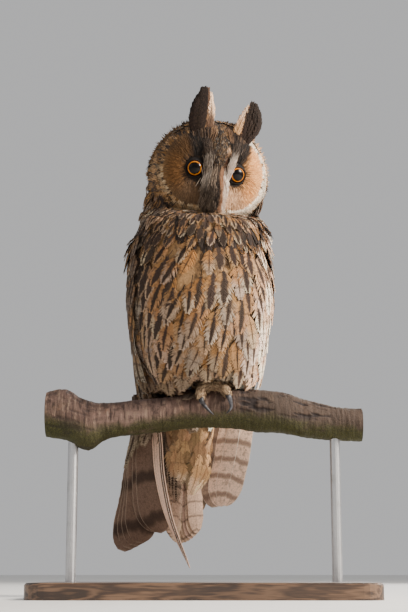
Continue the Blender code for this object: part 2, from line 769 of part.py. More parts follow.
def grip_point(x, angle, lift):
    """A point round the branch at x: angle 0 is on top, 90 the front; lift is off the bark."""
    middle, radius = perch_axis(x)
    a = math.radians(angle)
    r = radius + 0.9 + lift
    return middle + Vector((0.0, -r * math.sin(a), r * math.cos(a)))


# Standing foot: for each toe, its (x, angle) along the branch from the palm to the claw's root, then the claw
STANDING_TOES = (
    ("inner", ((5.5, 8.0), (0.5, 32.0), (-2.6, 54.0), (-2.0, 72.0)), ((0.2, 86.0), (3.4, 100.0), (7.2, 113.0))),
    ("middle", ((8.0, 8.0), (12.0, 30.0), (16.5, 50.0), (18.6, 68.0)), ((20.6, 83.0), (20.4, 97.0), (17.0, 110.0))),
    ("outer", ((8.5, 4.0), (17.0, -22.0), (24.0, -42.0), (27.0, -60.0)), ((28.0, -74.0), (27.0, -88.0), (25.0, -100.0))),
    ("hind", ((6.0, 2.0), (3.0, -26.0), (0.5, -48.0), (0.0, -64.0)), ((0.4, -78.0), (1.6, -92.0), (3.4, -104.0))),
)
TOE_RADIUS = 4.8
ANKLE = (7.0, 0.0, 23.4)
LEG_LEFT = ((6.0, -1.0, 46.0, 9.0), (6.6, -0.6, 34.0, 8.6), (7.0, 0.0, 27.0, 7.4), (*ANKLE, 6.4))

# Drawn up leg, as (x, y, H, radius) in the body's frame, and where its foot hangs
LEG_RIGHT = ((-17.0, 6.0, 46.0, 7.5), (-17.0, 3.0, 36.0, 7.0), (-17.0, 1.0, 25.4, 5.0))
FIST = ((25.1, 4.8), (23.6, 5.8), (21.0, 6.0), (18.6, 4.8), (17.4, 2.4))


def limb(name, rows, frame, grow=0.0):
    """A round leg through (x, y, H, radius), with level ends; grown evenly, it is the hollow that holds it."""
    rings = []
    for k, (x, y, height, radius) in enumerate(rows):
        height += grow if k == 0 else 0.0
        height -= 20.0 * grow if k == len(rows) - 1 else 0.0
        turns = [2 * math.pi * j / 12 for j in range(12)]
        rings.append([(x + (radius + grow) * math.cos(a), y + (radius + grow) * math.sin(a), height) for a in turns])
    return loft(name, rings, "toe", frame)


def set_in(torso, name, rows, frame):
    """A leg set into a hollow of the torso that it fills but for the gap."""
    leg = limb(name, rows, frame)
    hollow = limb("hollow", rows, frame, GAP)
    cut(torso, hollow, 0.0)
    drop(hollow)
    return leg


def build_standing_foot(perch, torso):
    """The leg down to the branch, the foot with its four toes, and four claws."""
    set_in(torso, "leg_left", LEG_LEFT, STAND)
    x, y, top = ANKLE
    rows = [(x, y, top - GAP, 6.4), (x, y, 20.0, 6.8), (x, y, 10.0, 5.6)]
    foot = limb("foot_left", rows, STAND)
    toes, claws = [], []
    for name, toe, claw in STANDING_TOES:
        line = [grip_point(x, a, 0.8 * TOE_RADIUS) for x, a in toe]
        smooth = curve_through(line, 2)
        last = len(smooth) - 1
        thick = [TOE_RADIUS * min(0.86 + k / last, 1.0) * (1 - 0.28 * (k / last) ** 2) for k in range(last + 1)]
        toes.append(tube("toe", smooth, thick, "toe", STAND, 7, 0.92, Vector((1, 0, 0))))
        ahead = (line[-1] - line[-2]).normalized()
        talon = [line[-1] - ahead * 0.5, line[-1] + ahead * 2.0] + [grip_point(x, a, 1.2) for x, a in claw]
        last = len(talon) - 1
        sharp = [2.1 * (1 - k / last) ** 0.8 + 0.35 for k in range(last + 1)]
        claws.append(tube(f"claw_left_{name}", talon, sharp, "horn", STAND, 6, 1.0, Vector((1, 0, 0))))
    fuse(foot, toes)
    cut(foot, perch)
    for claw in claws:
        cut(claw, foot)
        cut(claw, perch)


def curve_through(points, per_span):
    """Points of a smooth curve through points."""
    made = []
    for k in range(len(points) - 1):
        p0, p1, p2, p3 = points[max(k - 1, 0)], points[k], points[k + 1], points[min(k + 2, len(points) - 1)]
        for j in range(per_span):
            t = j / per_span
            made.append(
                0.5
                * (
                    2 * p1
                    + (p2 - p0) * t
                    + (2 * p0 - 5 * p1 + 4 * p2 - p3) * t * t
                    + (3 * p1 - p0 - 3 * p2 + p3) * t**3
                )
            )
    made.append(points[-1])
    return made


def build_tucked_foot(torso):
    """The other leg and foot, drawn up into the belly feathers with the toes closed."""
    set_in(torso, "leg_right", LEG_RIGHT, BODY)
    x, y, top, _ = LEG_RIGHT[-1]
    foot = limb("foot_right", [(x, y, height, radius) for height, radius in FIST], BODY)
    toes, claws = [], []
    for k in range(3):
        side = x + (k - 1) * 4.4
        line = [Vector((side, y + d, h)) for d, h in ((-2.0, 22.4), (-5.6, 21.2), (-6.6, 18.4), (-4.4, 16.4))]
        toes.append(tube("toe", line, [2.1, 2.2, 2.1, 1.7], "toe", BODY, 6, 1.0, Vector((1, 0, 0))))
        hook = [line[-1] + Vector((0, d, h)) for d, h in ((0.4, -0.3), (3.4, -1.2), (6.4, -0.8))]
        claws.append(tube(f"claw_right_{k + 1}", hook, [1.4, 1.0, 0.35], "horn", BODY, 6, 1.0, Vector((1, 0, 0))))
    fuse(foot, toes)
    for claw in claws:
        cut(claw, foot)


def build_base():
    """The flat plinth, with round corners and a small chamfer."""
    half_x, half_y = BASE_LENGTH / 2, BASE_DEPTH / 2
    rings = []
    for height, inset in ((0.0, 0.0), (BASE_THICKNESS - BASE_EDGE, 0.0), (BASE_THICKNESS, BASE_EDGE)):
        ring = []
        radius = BASE_CORNER - inset
        for corner, (sx, sy) in enumerate(((1, 1), (-1, 1), (-1, -1), (1, -1))):
            for step in range(7):
                a = math.radians(corner * 90 + step * 15)
                ring.append(
                    (
                        sx * (half_x - BASE_CORNER) + radius * math.cos(a),
                        sy * (half_y - BASE_CORNER) + radius * math.sin(a),
                        height,
                    )
                )
        rings.append(ring)
    return loft("stand_base", rings, "base")


def build_rod(name, x, perch):
    """A rod from the top of the base to the underside of the branch."""
    middle, _ = perch_axis(x)
    line = [
        Vector((x, PERCH_Y, BASE_THICKNESS + GAP)),
        Vector((x, PERCH_Y, PERCH_Z + middle.z)),
    ]
    rod = tube(name, line, [ROD_RADIUS, ROD_RADIUS], "steel", Matrix.Identity(4), 16, 1.0, Vector((0, 1, 0)))
    return cut(rod, perch)


def main():
    clear_scene()
    perch = build_perch()
    build_base()
    for name, x in zip(("stand_rod_right", "stand_rod_left"), ROD_X):
        build_rod(name, x, perch)
    torso = build_torso()
    head = build_head()
    eyes = [build_eye(side, name) for side, name in ((-1, "eye_right"), (1, "eye_left"))]
    for eye in eyes:
        cut(head, eye)
    bill = build_bill(head)
    for side, name in ((-1, "ear_tuft_right"), (1, "ear_tuft_left")):
        build_ear(side, name, head)
    neck = build_neck(head)
    for piece in bill:
        cut(neck, piece)
    tail = build_tail()
    wings = [
        build_wing("wing_right", RIGHT_WING, RIGHT_GROUPS, -9.0),
        build_wing("wing_left", LEFT_WING, LEFT_GROUPS, 9.0),
    ]
    for wing in wings:
        cut(wing, neck)
    build_standing_foot(perch, torso)
    build_tucked_foot(torso)


draw = random.Random(7)
main()
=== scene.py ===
"""The long-eared owl on its branch and stand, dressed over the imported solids.

Shapes are worked out in millimetres, in the frame of the body, of the head or of the branch, and become metres
when a mesh is made. H is the height over the middle of the branch, as in the part's source.
"""
import math

import bpy
import numpy as np
from mathutils import Matrix, Vector
from mathutils.bvhtree import BVHTree


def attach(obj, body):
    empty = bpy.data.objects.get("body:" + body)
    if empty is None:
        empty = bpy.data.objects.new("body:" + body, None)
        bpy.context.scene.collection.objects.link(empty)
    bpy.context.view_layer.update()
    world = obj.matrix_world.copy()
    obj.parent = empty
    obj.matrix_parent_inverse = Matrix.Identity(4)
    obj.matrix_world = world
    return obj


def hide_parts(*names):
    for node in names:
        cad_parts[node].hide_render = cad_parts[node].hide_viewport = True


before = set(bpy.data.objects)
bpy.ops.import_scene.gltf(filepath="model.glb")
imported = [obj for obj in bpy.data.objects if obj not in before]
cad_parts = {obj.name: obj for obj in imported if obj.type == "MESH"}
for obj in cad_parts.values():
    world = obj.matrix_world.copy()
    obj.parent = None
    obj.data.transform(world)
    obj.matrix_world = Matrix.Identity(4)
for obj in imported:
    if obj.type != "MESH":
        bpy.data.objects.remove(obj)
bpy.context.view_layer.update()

MM = 0.001
# The middle of the branch, and the middle of an eye, its radius and how deep it sits behind the face
PERCH_Y, PERCH_Z = -12.0, 143.7
EYE_X, EYE_Z, EYE_RADIUS, EYE_DEEP = 15.8, 8.8, 9.0, 5.6
# The length of one strand's patch on the unwrapped skin
PATCH = 0.003
HEAD_HALF_WIDTH, HEAD_TOP, HEAD_CHIN, FACE_DEPTH, NAPE_DEPTH = 47.8, 48.0, 40.0, 37.0, 44.0

# Torso and neck rings: height H, half width, front, back, and how much narrower the back is than the front
TORSO = (
    (143.0, 49.0, -43.0, 48.0, 0.00),
    (128.0, 52.0, -47.0, 53.0, 0.00),
    (106.0, 54.0, -50.0, 57.0, 0.00),
    (82.0, 55.0, -51.0, 58.0, 0.02),
    (60.0, 52.5, -48.0, 58.0, 0.06),
    (43.0, 50.0, -42.0, 57.0, 0.08),
    (33.0, 47.5, -35.5, 57.0, 0.12),
    (27.6, 45.5, -27.0, 56.5, 0.16),
    (25.8, 43.0, -16.0, 56.5, 0.20),
    (24.8, 39.5, -3.0, 56.5, 0.26),
    (23.0, 33.0, 9.0, 56.5, 0.30),
    (15.0, 25.0, 19.0, 56.5, 0.22),
    (0.0, 23.0, 21.5, 57.0, 0.15),
    (-14.0, 21.5, 26.0, 58.5, 0.10),
    (-26.0, 19.5, 32.0, 60.0, 0.05),
)
NECK = (
    (140.0, 49.3, -43.0, 48.2, 0.0),
    (145.0, 49.0, -39.5, 48.2, 0.0),
    (148.0, 48.7, -34.0, 48.5, 0.0),
    (152.5, 48.0, -25.0, 48.5, 0.0),
    (160.0, 46.5, -14.0, 48.2, 0.0),
    (176.0, 45.0, -5.0, 47.0, 0.0),
    (192.0, 40.0, 4.0, 43.0, 0.0),
)

# Each wing is a sheet through three rails: its leading edge, middle and trailing edge, as (x, y) at each H
WINGS = {
    "right": (
        (141.0, (-45.0, 0.0), (-42.0, 26.0), (-18.0, 44.0)),
        (90.0, (-54.0, -2.0), (-47.0, 32.0), (-14.0, 57.0)),
        (40.0, (-45.0, 16.0), (-38.0, 42.0), (-7.0, 63.0)),
        (0.0, (-28.0, 33.0), (-34.0, 48.0), (-8.0, 66.0)),
        (-50.0, (-30.0, 38.0), (-44.0, 63.0), (-8.0, 84.0)),
    ),
    "left": (
        (141.0, (45.0, 4.0), (42.0, 27.0), (18.0, 44.0)),
        (90.0, (54.0, 2.0), (47.0, 32.0), (14.0, 57.0)),
        (40.0, (46.0, 16.0), (39.0, 42.0), (7.0, 63.0)),
        (0.0, (42.0, 22.0), (37.0, 48.0), (7.0, 66.0)),
        (-50.0, (42.0, 34.0), (40.0, 62.0), (8.0, 82.0)),
    ),
}

# The branch: x, height of its middle and radius
BRANCH = (
    (-122.0, -4.5, 16.8),
    (-104.0, -6.5, 17.2),
    (-88.0, -10.6, 16.4),
    (-77.0, -9.6, 14.0),
    (-42.0, -5.6, 13.0),
    (-3.0, -0.5, 13.8),
    (24.0, 0.2, 15.2),
    (42.0, -1.8, 16.6),
    (60.0, -3.4, 16.2),
    (80.0, -7.8, 14.4),
    (101.0, -11.0, 13.0),
    (122.0, -12.0, 12.8),
)


def turned(axis, degrees):
    return np.array(Matrix.Rotation(math.radians(degrees), 3, axis))


class Place:
    """A frame in millimetres: how it is turned and where its origin is."""

    def __init__(self, turn, origin):
        self.turn, self.origin = turn, np.array(origin)

    def world(self, points):
        return np.asarray(points, float) @ self.turn.T + self.origin

    def local(self, points):
        return (np.asarray(points, float) - self.origin) @ self.turn

    def way(self, vectors):
        return np.asarray(vectors, float) @ self.turn.T

    def both(self, line, ups):
        """A shaft line and its upward directions in the world's frame."""
        return self.world(line), self.way(ups)


BODY = Place(turned("Z", 20.0), (0.0, PERCH_Y, PERCH_Z))
HEAD = Place(turned("Z", 10.5) @ turned("X", 19.0) @ turned("Y", 5.8), (2.7, PERCH_Y + 2.0, PERCH_Z + 185.2))
STAND = Place(np.eye(3), (0.0, PERCH_Y, PERCH_Z))


# ---------------------------------------------------------------- numbers and noise


def unit(vectors):
    length = np.linalg.norm(vectors, axis=-1, keepdims=True)
    return vectors / np.maximum(length, 1e-9)


def smooth(low, high, value):
    t = np.clip((np.asarray(value, float) - low) / (high - low), 0.0, 1.0)
    return t * t * (3 - 2 * t)


def mix(first, second, amount):
    amount = np.asarray(amount)[..., None]
    return np.asarray(first) * (1 - amount) + np.asarray(second) * amount


def lattice(cells):
    """A steady random number 0 to 1 for each whole (i, j, k)."""
    c = cells.astype(np.int64)
    mixed = (c[..., 0] * 73856093) ^ (c[..., 1] * 19349663) ^ (c[..., 2] * 83492791)
    mixed = (mixed ^ (mixed >> 13)) * 1274126177 & 0x7FFFFFFF
    mixed = (mixed ^ (mixed >> 16)) & 0xFFFFFF
    return mixed / float(0xFFFFFF)


def noise(points, size, seed=0.0):
    """Soft noise 0 to 1 with lumps of the given size."""
    p = np.asarray(points, float) / size + seed
    cell = np.floor(p)
    f = p - cell
    f = f * f * (3 - 2 * f)
    total = 0.0
    for corner in np.ndindex(2, 2, 2):
        weight = 1.0
        for axis, far in enumerate(corner):
            weight = weight * (f[..., axis] if far else 1 - f[..., axis])
        total = total + lattice(cell + np.array(corner)) * weight
    return total


def layered(points, size, seed=0.0):
    """Noise with finer and finer lumps."""
    return (noise(points, size, seed) * 4 + noise(points, size / 2, seed + 7) * 2
            + noise(points, size / 4, seed + 19)) / 7


def at_height(table, height):
    """The row of a table at a height, by a smooth curve through its rows."""
    rows = sorted(table, key=lambda row: row[0])
    height = min(max(height, rows[0][0]), rows[-1][0])
    k = max(i for i in range(len(rows) - 1) if rows[i][0] <= height)
    low, high = rows[k], rows[k + 1]
    before, after = rows[max(k - 1, 0)], rows[min(k + 2, len(rows) - 1)]
    span = high[0] - low[0]
    t = (height - low[0]) / span
    values = []
    for p0, p1, p2, p3 in zip(before[1:], low[1:], high[1:], after[1:]):
        p0, p1, p2, p3 = (np.asarray(p, float) for p in (p0, p1, p2, p3))
        m1 = (p2 - p0) / max(high[0] - before[0], 1e-6) * span
        m2 = (p3 - p1) / max(after[0] - low[0], 1e-6) * span
        value = (2 * t**3 - 3 * t**2 + 1) * p1 + (t**3 - 2 * t**2 + t) * m1
        values.append(value + (3 * t**2 - 2 * t**3) * p2 + (t**3 - t**2) * m2)
    return values


def curve_through(points, per_span):
    """Points of a smooth curve through points."""
    points = [np.asarray(p, float) for p in points]
    made = []
    for k in range(len(points) - 1):
        p0, p1, p2, p3 = points[max(k - 1, 0)], points[k], points[k + 1], points[min(k + 2, len(points) - 1)]
        for j in range(per_span):
            t = j / per_span
            bend = (2 * p0 - 5 * p1 + 4 * p2 - p3) * t * t + (3 * p1 - p0 - 3 * p2 + p3) * t**3
            made.append(0.5 * (2 * p1 + (p2 - p0) * t + bend))
    made.append(points[-1])
    return np.array(made)


def resample(line, count):
    """The same curve with evenly spaced points."""
    line = np.asarray(line, float)
    gone = np.concatenate(([0.0], np.cumsum(np.linalg.norm(np.diff(line, axis=0), axis=1))))
    want = np.linspace(0, gone[-1], count)
    return np.stack([np.interp(want, gone, line[:, k]) for k in range(3)], axis=1)


# ---------------------------------------------------------------- meshes


def read(items, name, kind=np.float32):
    """Three numbers of every item of a mesh's collection."""
    values = np.empty(len(items) * 3, kind)
    items.foreach_get(name, values)
    return values.reshape(-1, 3)


def make_mesh(name, points, triangles, smooth_faces=False):
    """An object from points in millimetres in the world's frame and triangles."""
    points = np.asarray(points, np.float32) * MM
    triangles = np.asarray(triangles, np.int32)
    mesh = bpy.data.meshes.new(name)
    mesh.vertices.add(len(points))
    mesh.vertices.foreach_set("co", points.ravel())
    mesh.loops.add(triangles.size)
    mesh.loops.foreach_set("vertex_index", triangles.ravel())
    mesh.polygons.add(len(triangles))
    mesh.polygons.foreach_set("loop_start", np.arange(0, triangles.size, 3, dtype=np.int32))
    mesh.polygons.foreach_set("use_smooth", np.full(len(triangles), smooth_faces))
    mesh.update(calc_edges=True)
    mesh.validate()
    item = bpy.data.objects.new(name, mesh)
    bpy.context.scene.collection.objects.link(item)
    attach(item, "root")
    return item


def turns(count):
    """Evenly spaced angles once round."""
    return 2 * np.pi * np.arange(count) / count


def fan(hub, first, around):
    """Triangles from the point hub to a ring of points."""
    k = np.arange(around)
    return np.stack([np.full(around, hub), first + k, first + (k + 1) % around], 1)


def band(first, around):
    """Triangles between a ring of points, from number first on, and the ring after it."""
    p = first + np.arange(around)
    q = first + (np.arange(around) + 1) % around
    return np.concatenate([np.stack([p, q, q + around], 1), np.stack([p, q + around, p + around], 1)])


def tube_mesh(rings):
    """Points and triangles of a body through rings (n, m, 3), closed by a fan at each end."""
    rings = np.asarray(rings, float)
    rows, around = rings.shape[:2]
    last = rows * around
    points = np.concatenate([rings.reshape(-1, 3), [rings[0].mean(0), rings[-1].mean(0)]])
    faces = [band(row * around, around) for row in range(rows - 1)]
    faces += [fan(last, 0, around)[:, (0, 2, 1)], fan(last + 1, last - around, around)]
    return points, np.concatenate(faces)


def tube(line, radii, sides=12, flat=1.0, up=(0.0, 0.0, 1.0)):
    """A round body along a line, squashed by flat along up."""
    line = np.asarray(line, float)
    ahead = unit(np.gradient(line, axis=0))
    across = np.cross(ahead, np.asarray(up, float))
    # Where the line runs along up, any direction across it does
    across[np.linalg.norm(across, axis=1) < 1e-3] = (1.0, 0.0, 0.0)
    across = unit(across)
    rise = unit(np.cross(across, ahead))
    a = turns(sides)[None, :, None]
    radii = np.asarray(radii, float)[:, None, None]
    return tube_mesh(line[:, None] + across[:, None] * radii * np.cos(a) + rise[:, None] * radii * flat * np.sin(a))


def joined(parts):
    """Several (points, triangles) as one."""
    points, faces, first = [], [], 0
    for p, f in parts:
        points.append(p)
        faces.append(np.asarray(f) + first)
        first += len(p)
    return np.concatenate(points), np.concatenate(faces)


def solid(name, place, body, material, node=None):
    """A piece with points in a place's frame, its material, and the solid that it stands for."""
    item = make_mesh(name, place.world(body[0]), body[1], True)
    item.data.materials.append(material)
    if node:
        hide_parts(node)
    return item


def plan_layer(mesh, values):
    layer = mesh.attributes.new("plan", "FLOAT_VECTOR", "POINT")
    layer.data.foreach_set("vector", np.asarray(values).astype(np.float32).ravel())


def colour_layer(mesh, name, values):
    layer = mesh.attributes.new(name, "FLOAT_COLOR", "POINT")
    values = np.asarray(values, np.float32)
    if values.shape[1] == 3:
        values = np.concatenate([values, np.ones((len(values), 1), np.float32)], 1)
    layer.data.foreach_set("color", values.ravel())


# ---------------------------------------------------------------- the skin's shape


def head_relief(x, z):
    relief = 0.0
    for side in (-1, 1):
        from_eye = np.hypot(x - side * EYE_X, (z - EYE_Z) / 1.15)
        relief = relief - 5.0 * np.exp(-((from_eye / 19.0) ** 2))
        relief = relief + np.where(x * side > 0, 2.4 * np.exp(-(((from_eye - 31.0) / 4.0) ** 2)), 0.0)
    below = np.clip((34.0 - z) / 30.0, 0.0, 1.0)
    ridge = 6.5 * np.exp(-((x / (5.0 + 3.0 * below)) ** 2)) * (0.35 + 0.65 * below)
    ridge = ridge * np.where(z < -22, np.clip(1 - (-22 - z) / 14.0, 0.0, 1.0), 1.0)
    return relief + ridge


def head_radial(x, z):
    """How far out a place on the face lies: 1 at the head's outline."""
    return np.hypot(x / HEAD_HALF_WIDTH, z / np.where(z > 0, HEAD_TOP, HEAD_CHIN))


def head_front(x, z):
    """Y of the face at x, z, in the head's frame."""
    x, z = np.asarray(x, float), np.asarray(z, float)
    radial = np.minimum(1.0, head_radial(x, z))
    return -(FACE_DEPTH * (1 - radial**3.0) ** 0.62) - head_relief(x, z) * (1 - radial**6)


def head_point(reach, turn):
    """Points of the head: reach runs 0 at the middle of the face, 1 at the rim, 2 at the nape."""
    reach, turn = np.broadcast_arrays(np.asarray(reach, float), np.asarray(turn, float))
    near = np.where(reach <= 1, reach, 2 - reach)
    radial = np.sin(near * np.pi / 2) ** np.where(reach <= 1, 0.9, 1.0)
    x = HEAD_HALF_WIDTH * radial * np.cos(turn)
    z = np.where(np.sin(turn) > 0, HEAD_TOP, HEAD_CHIN) * radial * np.sin(turn)
    y = np.where(reach <= 1, head_front(x, z), NAPE_DEPTH * np.cos(near * np.pi / 2) ** 0.92)
    return np.stack([x, y, z], -1)


def eye_middle(side):
    return np.array((side * EYE_X, float(head_front(side * EYE_X, EYE_Z)) + EYE_DEEP, EYE_Z))


def sway(height):
    """How far the belly stands out to the bird's left."""
    return 4.0 * math.exp(-(((height - 30.0) / 14.0) ** 2))


def body_outline(table, height, a):
    """Half width, y of the middle and half depth of the body at a height, for bearings a from the front."""
    width, front, back, narrow = (float(v) for v in at_height(table, height))
    return width * (1 - narrow * (1 - np.cos(a)) / 2), (front + back) / 2, (back - front) / 2


def body_ring(table, height, count=64):
    a = turns(count)
    side, middle, depth = body_outline(table, height, a)
    return np.stack([side * np.sin(a) + sway(height), middle - depth * np.cos(a), np.full(count, height)], 1)


def clear_of_torso(x, y, height, clear=1.3):
    """The point (x, y), moved straight out from the body's middle until it clears the torso."""
    a = np.linspace(0.0, np.pi, 90)
    side, middle, depth = body_outline(TORSO, height, a)
    side, ahead = side * np.sin(a), depth * np.cos(a)
    x0 = sway(height)
    outline = np.interp(math.atan2(abs(x - x0), middle - y), np.arctan2(side, ahead), np.hypot(side, ahead) + clear)
    grow = max(1.0, float(outline) / math.hypot(x - x0, y - middle))
    return np.array((x0 + (x - x0) * grow, middle + (y - middle) * grow, height))


def sheet_point(wing, share, height, lift):
    """A point on a wing's sheet, lifted off it: share 0 is the leading edge and 1 the trailing edge."""

    def flat(s, h):
        lead, middle, trail = at_height(wing, h)
        point = lead * (1 - s) * (1 - 2 * s) + middle * 4 * s * (1 - s) + trail * s * (2 * s - 1)
        return clear_of_torso(point[0], point[1], h)

    here = flat(share, height)
    along = flat(share + 0.02, height) - flat(share - 0.02, height)
    down = flat(share, height - 2.0) - flat(share, height + 2.0)
    normal = unit(np.cross(along, down))
    if normal @ np.array((here[0], here[1] - 20.0, 0.0)) < 0:
        normal = -normal
    return here + normal * lift, normal


def sheet_line(wing, places):
    """Points on a wing's sheet at each (share, height, lift), and its outward directions there."""
    return tuple(np.array(part) for part in zip(*(sheet_point(wing, *place) for place in places)))


def perch_axis(x):
    height, radius = (float(v) for v in at_height(BRANCH, x))
    return np.array((x, 0.0, height)), radius


def grip_point(x, angle, lift):
    middle, radius = perch_axis(x)
    a = math.radians(angle)
    r = radius + 0.9 + lift
    return middle + np.array((0.0, -r * math.sin(a), r * math.cos(a)))


# The toes on the branch: the path of the toe and of its claw, as x and bearing from the top in degrees
STANDING_TOES = (
    ("inner", ((5.5, 8.0), (0.5, 32.0), (-2.6, 54.0), (-2.0, 72.0)), ((0.2, 86.0), (3.4, 100.0), (7.2, 113.0))),
    ("middle", ((8.0, 8.0), (12.0, 30.0), (16.5, 50.0), (18.6, 68.0)), ((20.6, 83.0), (20.4, 97.0), (17.0, 110.0))),
    ("outer", ((8.5, 4.0), (17.0, -22.0), (24.0, -42.0), (27.0, -60.0)),
     ((28.0, -74.0), (27.0, -88.0), (25.0, -100.0))),
    ("hind", ((6.0, 2.0), (3.0, -26.0), (0.5, -48.0), (0.0, -64.0)), ((0.4, -78.0), (1.6, -92.0), (3.4, -104.0))),
)
TOE_RADIUS = 4.8
# The clenched foot: its place across the body, and how far apart its toes are
CLENCHED_X, CLENCHED_APART = -17.0, 4.4


def wing_plate(wing, low, high, inner, outer):
    """A closed plate on a wing's sheet, for the skin."""
    across, down = 16, 34
    points = []
    for lift in (inner, outer):
        for row, k in np.ndindex(down, across):
            rim = min(k, across - 1 - k, row, down - 1 - row)
            reach = lift if lift <= 0 else lift * min(1.0, 0.25 + rim / 3.0)
            share = 0.02 + 0.95 * k / (across - 1)
            points.append(sheet_point(wing, share, high + (low - high) * row / (down - 1), reach)[0])
    number = np.arange(across * down).reshape(down, across)
    a, b, c, d = (part.ravel() for part in (number[:-1, :-1], number[:-1, 1:], number[1:, :-1], number[1:, 1:]))
    other = across * down
    faces = [(a, b, d), (a, d, c), (other + a, other + d, other + b), (other + a, other + c, other + d)]
    rim = np.concatenate([number[0], number[1:, -1], number[-1, -2::-1], number[-2:0:-1, 0]])
    after = np.roll(rim, -1)
    faces += [(rim, other + rim, other + after), (rim, other + after, after)]
    return np.array(points), np.concatenate([np.stack(face, 1) for face in faces])


def skin_parts():
    """The closed bodies that the skin is made round."""
    parts = []

    def body(place, made):
        parts.append((place.world(made[0]), made[1]))

    def limb(place, path, per_span, radii, sides, flat=1.0, up=(0.0, 0.0, 1.0)):
        line = curve_through(path, per_span)
        radii = np.interp(np.linspace(0, len(radii) - 1, len(line)), range(len(radii)), radii)
        body(place, tube(line, radii, sides, flat, up))

    body(BODY, tube_mesh([body_ring(TORSO, h) for h in np.linspace(143, -26, 60)]))
    body(BODY, tube_mesh([body_ring(NECK, h) for h in np.linspace(140, 190, 26)]))
    reaches = np.concatenate([np.linspace(0.04, 1.0, 30), np.linspace(1.06, 1.94, 18)])
    body(HEAD, tube_mesh([head_point(r, turns(84)) for r in reaches]))
    for wing in WINGS.values():
        body(BODY, wing_plate(wing, -6.0, 134.0, -5.0, 3.2))
    rings, a = [], turns(40)
    for height, half_width, front, back in ((-20.0, 18.5, 34.0, 59.0), (-36.0, 15.0, 43.0, 62.0),
                                            (-46.0, 9.0, 54.0, 65.0)):
        y = (front + back) / 2 - (back - front) / 2 * np.cos(a)
        rings.append(np.stack([2.3 + half_width * np.sin(a), y, np.full(40, height)], 1))
    body(BODY, tube_mesh(rings))
    leg = [(6.0, -1.0, 46.0), (6.6, -0.6, 34.0), (7.0, 0.0, 27.0), (7.0, 0.0, 20.0), (7.0, 0.0, 10.0)]
    limb(STAND, leg, 4, (9.0, 8.6, 7.4, 6.8, 5.6), 24)
    for _, toe, _ in STANDING_TOES:
        line = curve_through([grip_point(x, b, 0.8 * TOE_RADIUS) for x, b in toe], 8)
        share = np.linspace(0, 1, len(line))
        swell = 1 + 0.10 * np.cos(share * 3 * 2 * np.pi)
        radii = TOE_RADIUS * np.minimum(0.86 + share, 1.0) * (1 - 0.28 * share**2) * swell
        body(STAND, tube(line, radii, 18, 0.92, (1, 0, 0)))
    leg = [(CLENCHED_X, y, h) for y, h in ((6.0, 46.0), (3.0, 36.0), (2.0, 25.4), (1.2, 21.0), (1.0, 17.6))]
    limb(BODY, leg, 4, (7.5, 7.0, 5.6, 6.0, 3.0), 24)
    for k in (-1, 0, 1):
        bend = ((-2.0, 22.4), (-5.6, 21.2), (-6.6, 18.4), (-4.4, 16.4))
        toe = [(CLENCHED_X + k * CLENCHED_APART, 1.0 + d, h) for d, h in bend]
        limb(BODY, toe, 5, (2.1, 2.3, 2.1, 1.7), 14, 1, (1, 0, 0))
    return joined(parts)


def build_skin():
    """One closed skin round the flesh, drawn in by the coat's depth."""
    rough = make_mesh("skin", *skin_parts(), True)
    remesh = rough.modifiers.new("remesh", "REMESH")
    remesh.mode, remesh.voxel_size, remesh.use_smooth_shade = "VOXEL", 0.0013, True
    soften = rough.modifiers.new("soften", "SMOOTH")
    soften.factor, soften.iterations = 0.5, 5
    graph = bpy.context.evaluated_depsgraph_get()
    mesh = bpy.data.meshes.new_from_object(rough.evaluated_get(graph), depsgraph=graph)
    rough.modifiers.clear()
    rough.data = mesh
    points, normals = read(mesh.vertices, "co") / MM, read(mesh.vertices, "normal")
    local, face = BODY.local(points), HEAD.local(points)
    depth = np.where((local[:, 2] < 24.4) & (local[:, 1] < 15), 0.7, 2.4)
    front = smooth(4.0, -8.0, face[:, 1]) * smooth(-44.0, -36.0, face[:, 2]) * (np.abs(face[:, 0]) < 60)
    depth = depth * (1 - front) + 1.2 * front
    side = np.abs(normals @ HEAD.way((1.0, 0.0, 0.0))) * smooth(30, 44, np.abs(face[:, 0])) * (face[:, 2] > -34)
    points = points - normals * (depth + 2.4 * side)[:, None]
    mesh.vertices.foreach_set("co", (points * MM).astype(np.float32).ravel())
    mesh.update()
    return rough


# ---------------------------------------------------------------- the coat


def look(ground, pale, mark, streak=0.0, bars=0.0, specks=0.0, bands=0.0, edge=0.0, soft=0.65):
    """How a feather is marked: its ground colour, the colour of its outer half or edge, and its dark marks."""
    return {"ground": ground, "pale": pale, "mark": mark, "dose": (streak, bars, specks), "bands": bands, "edge": edge,
            "soft": soft}


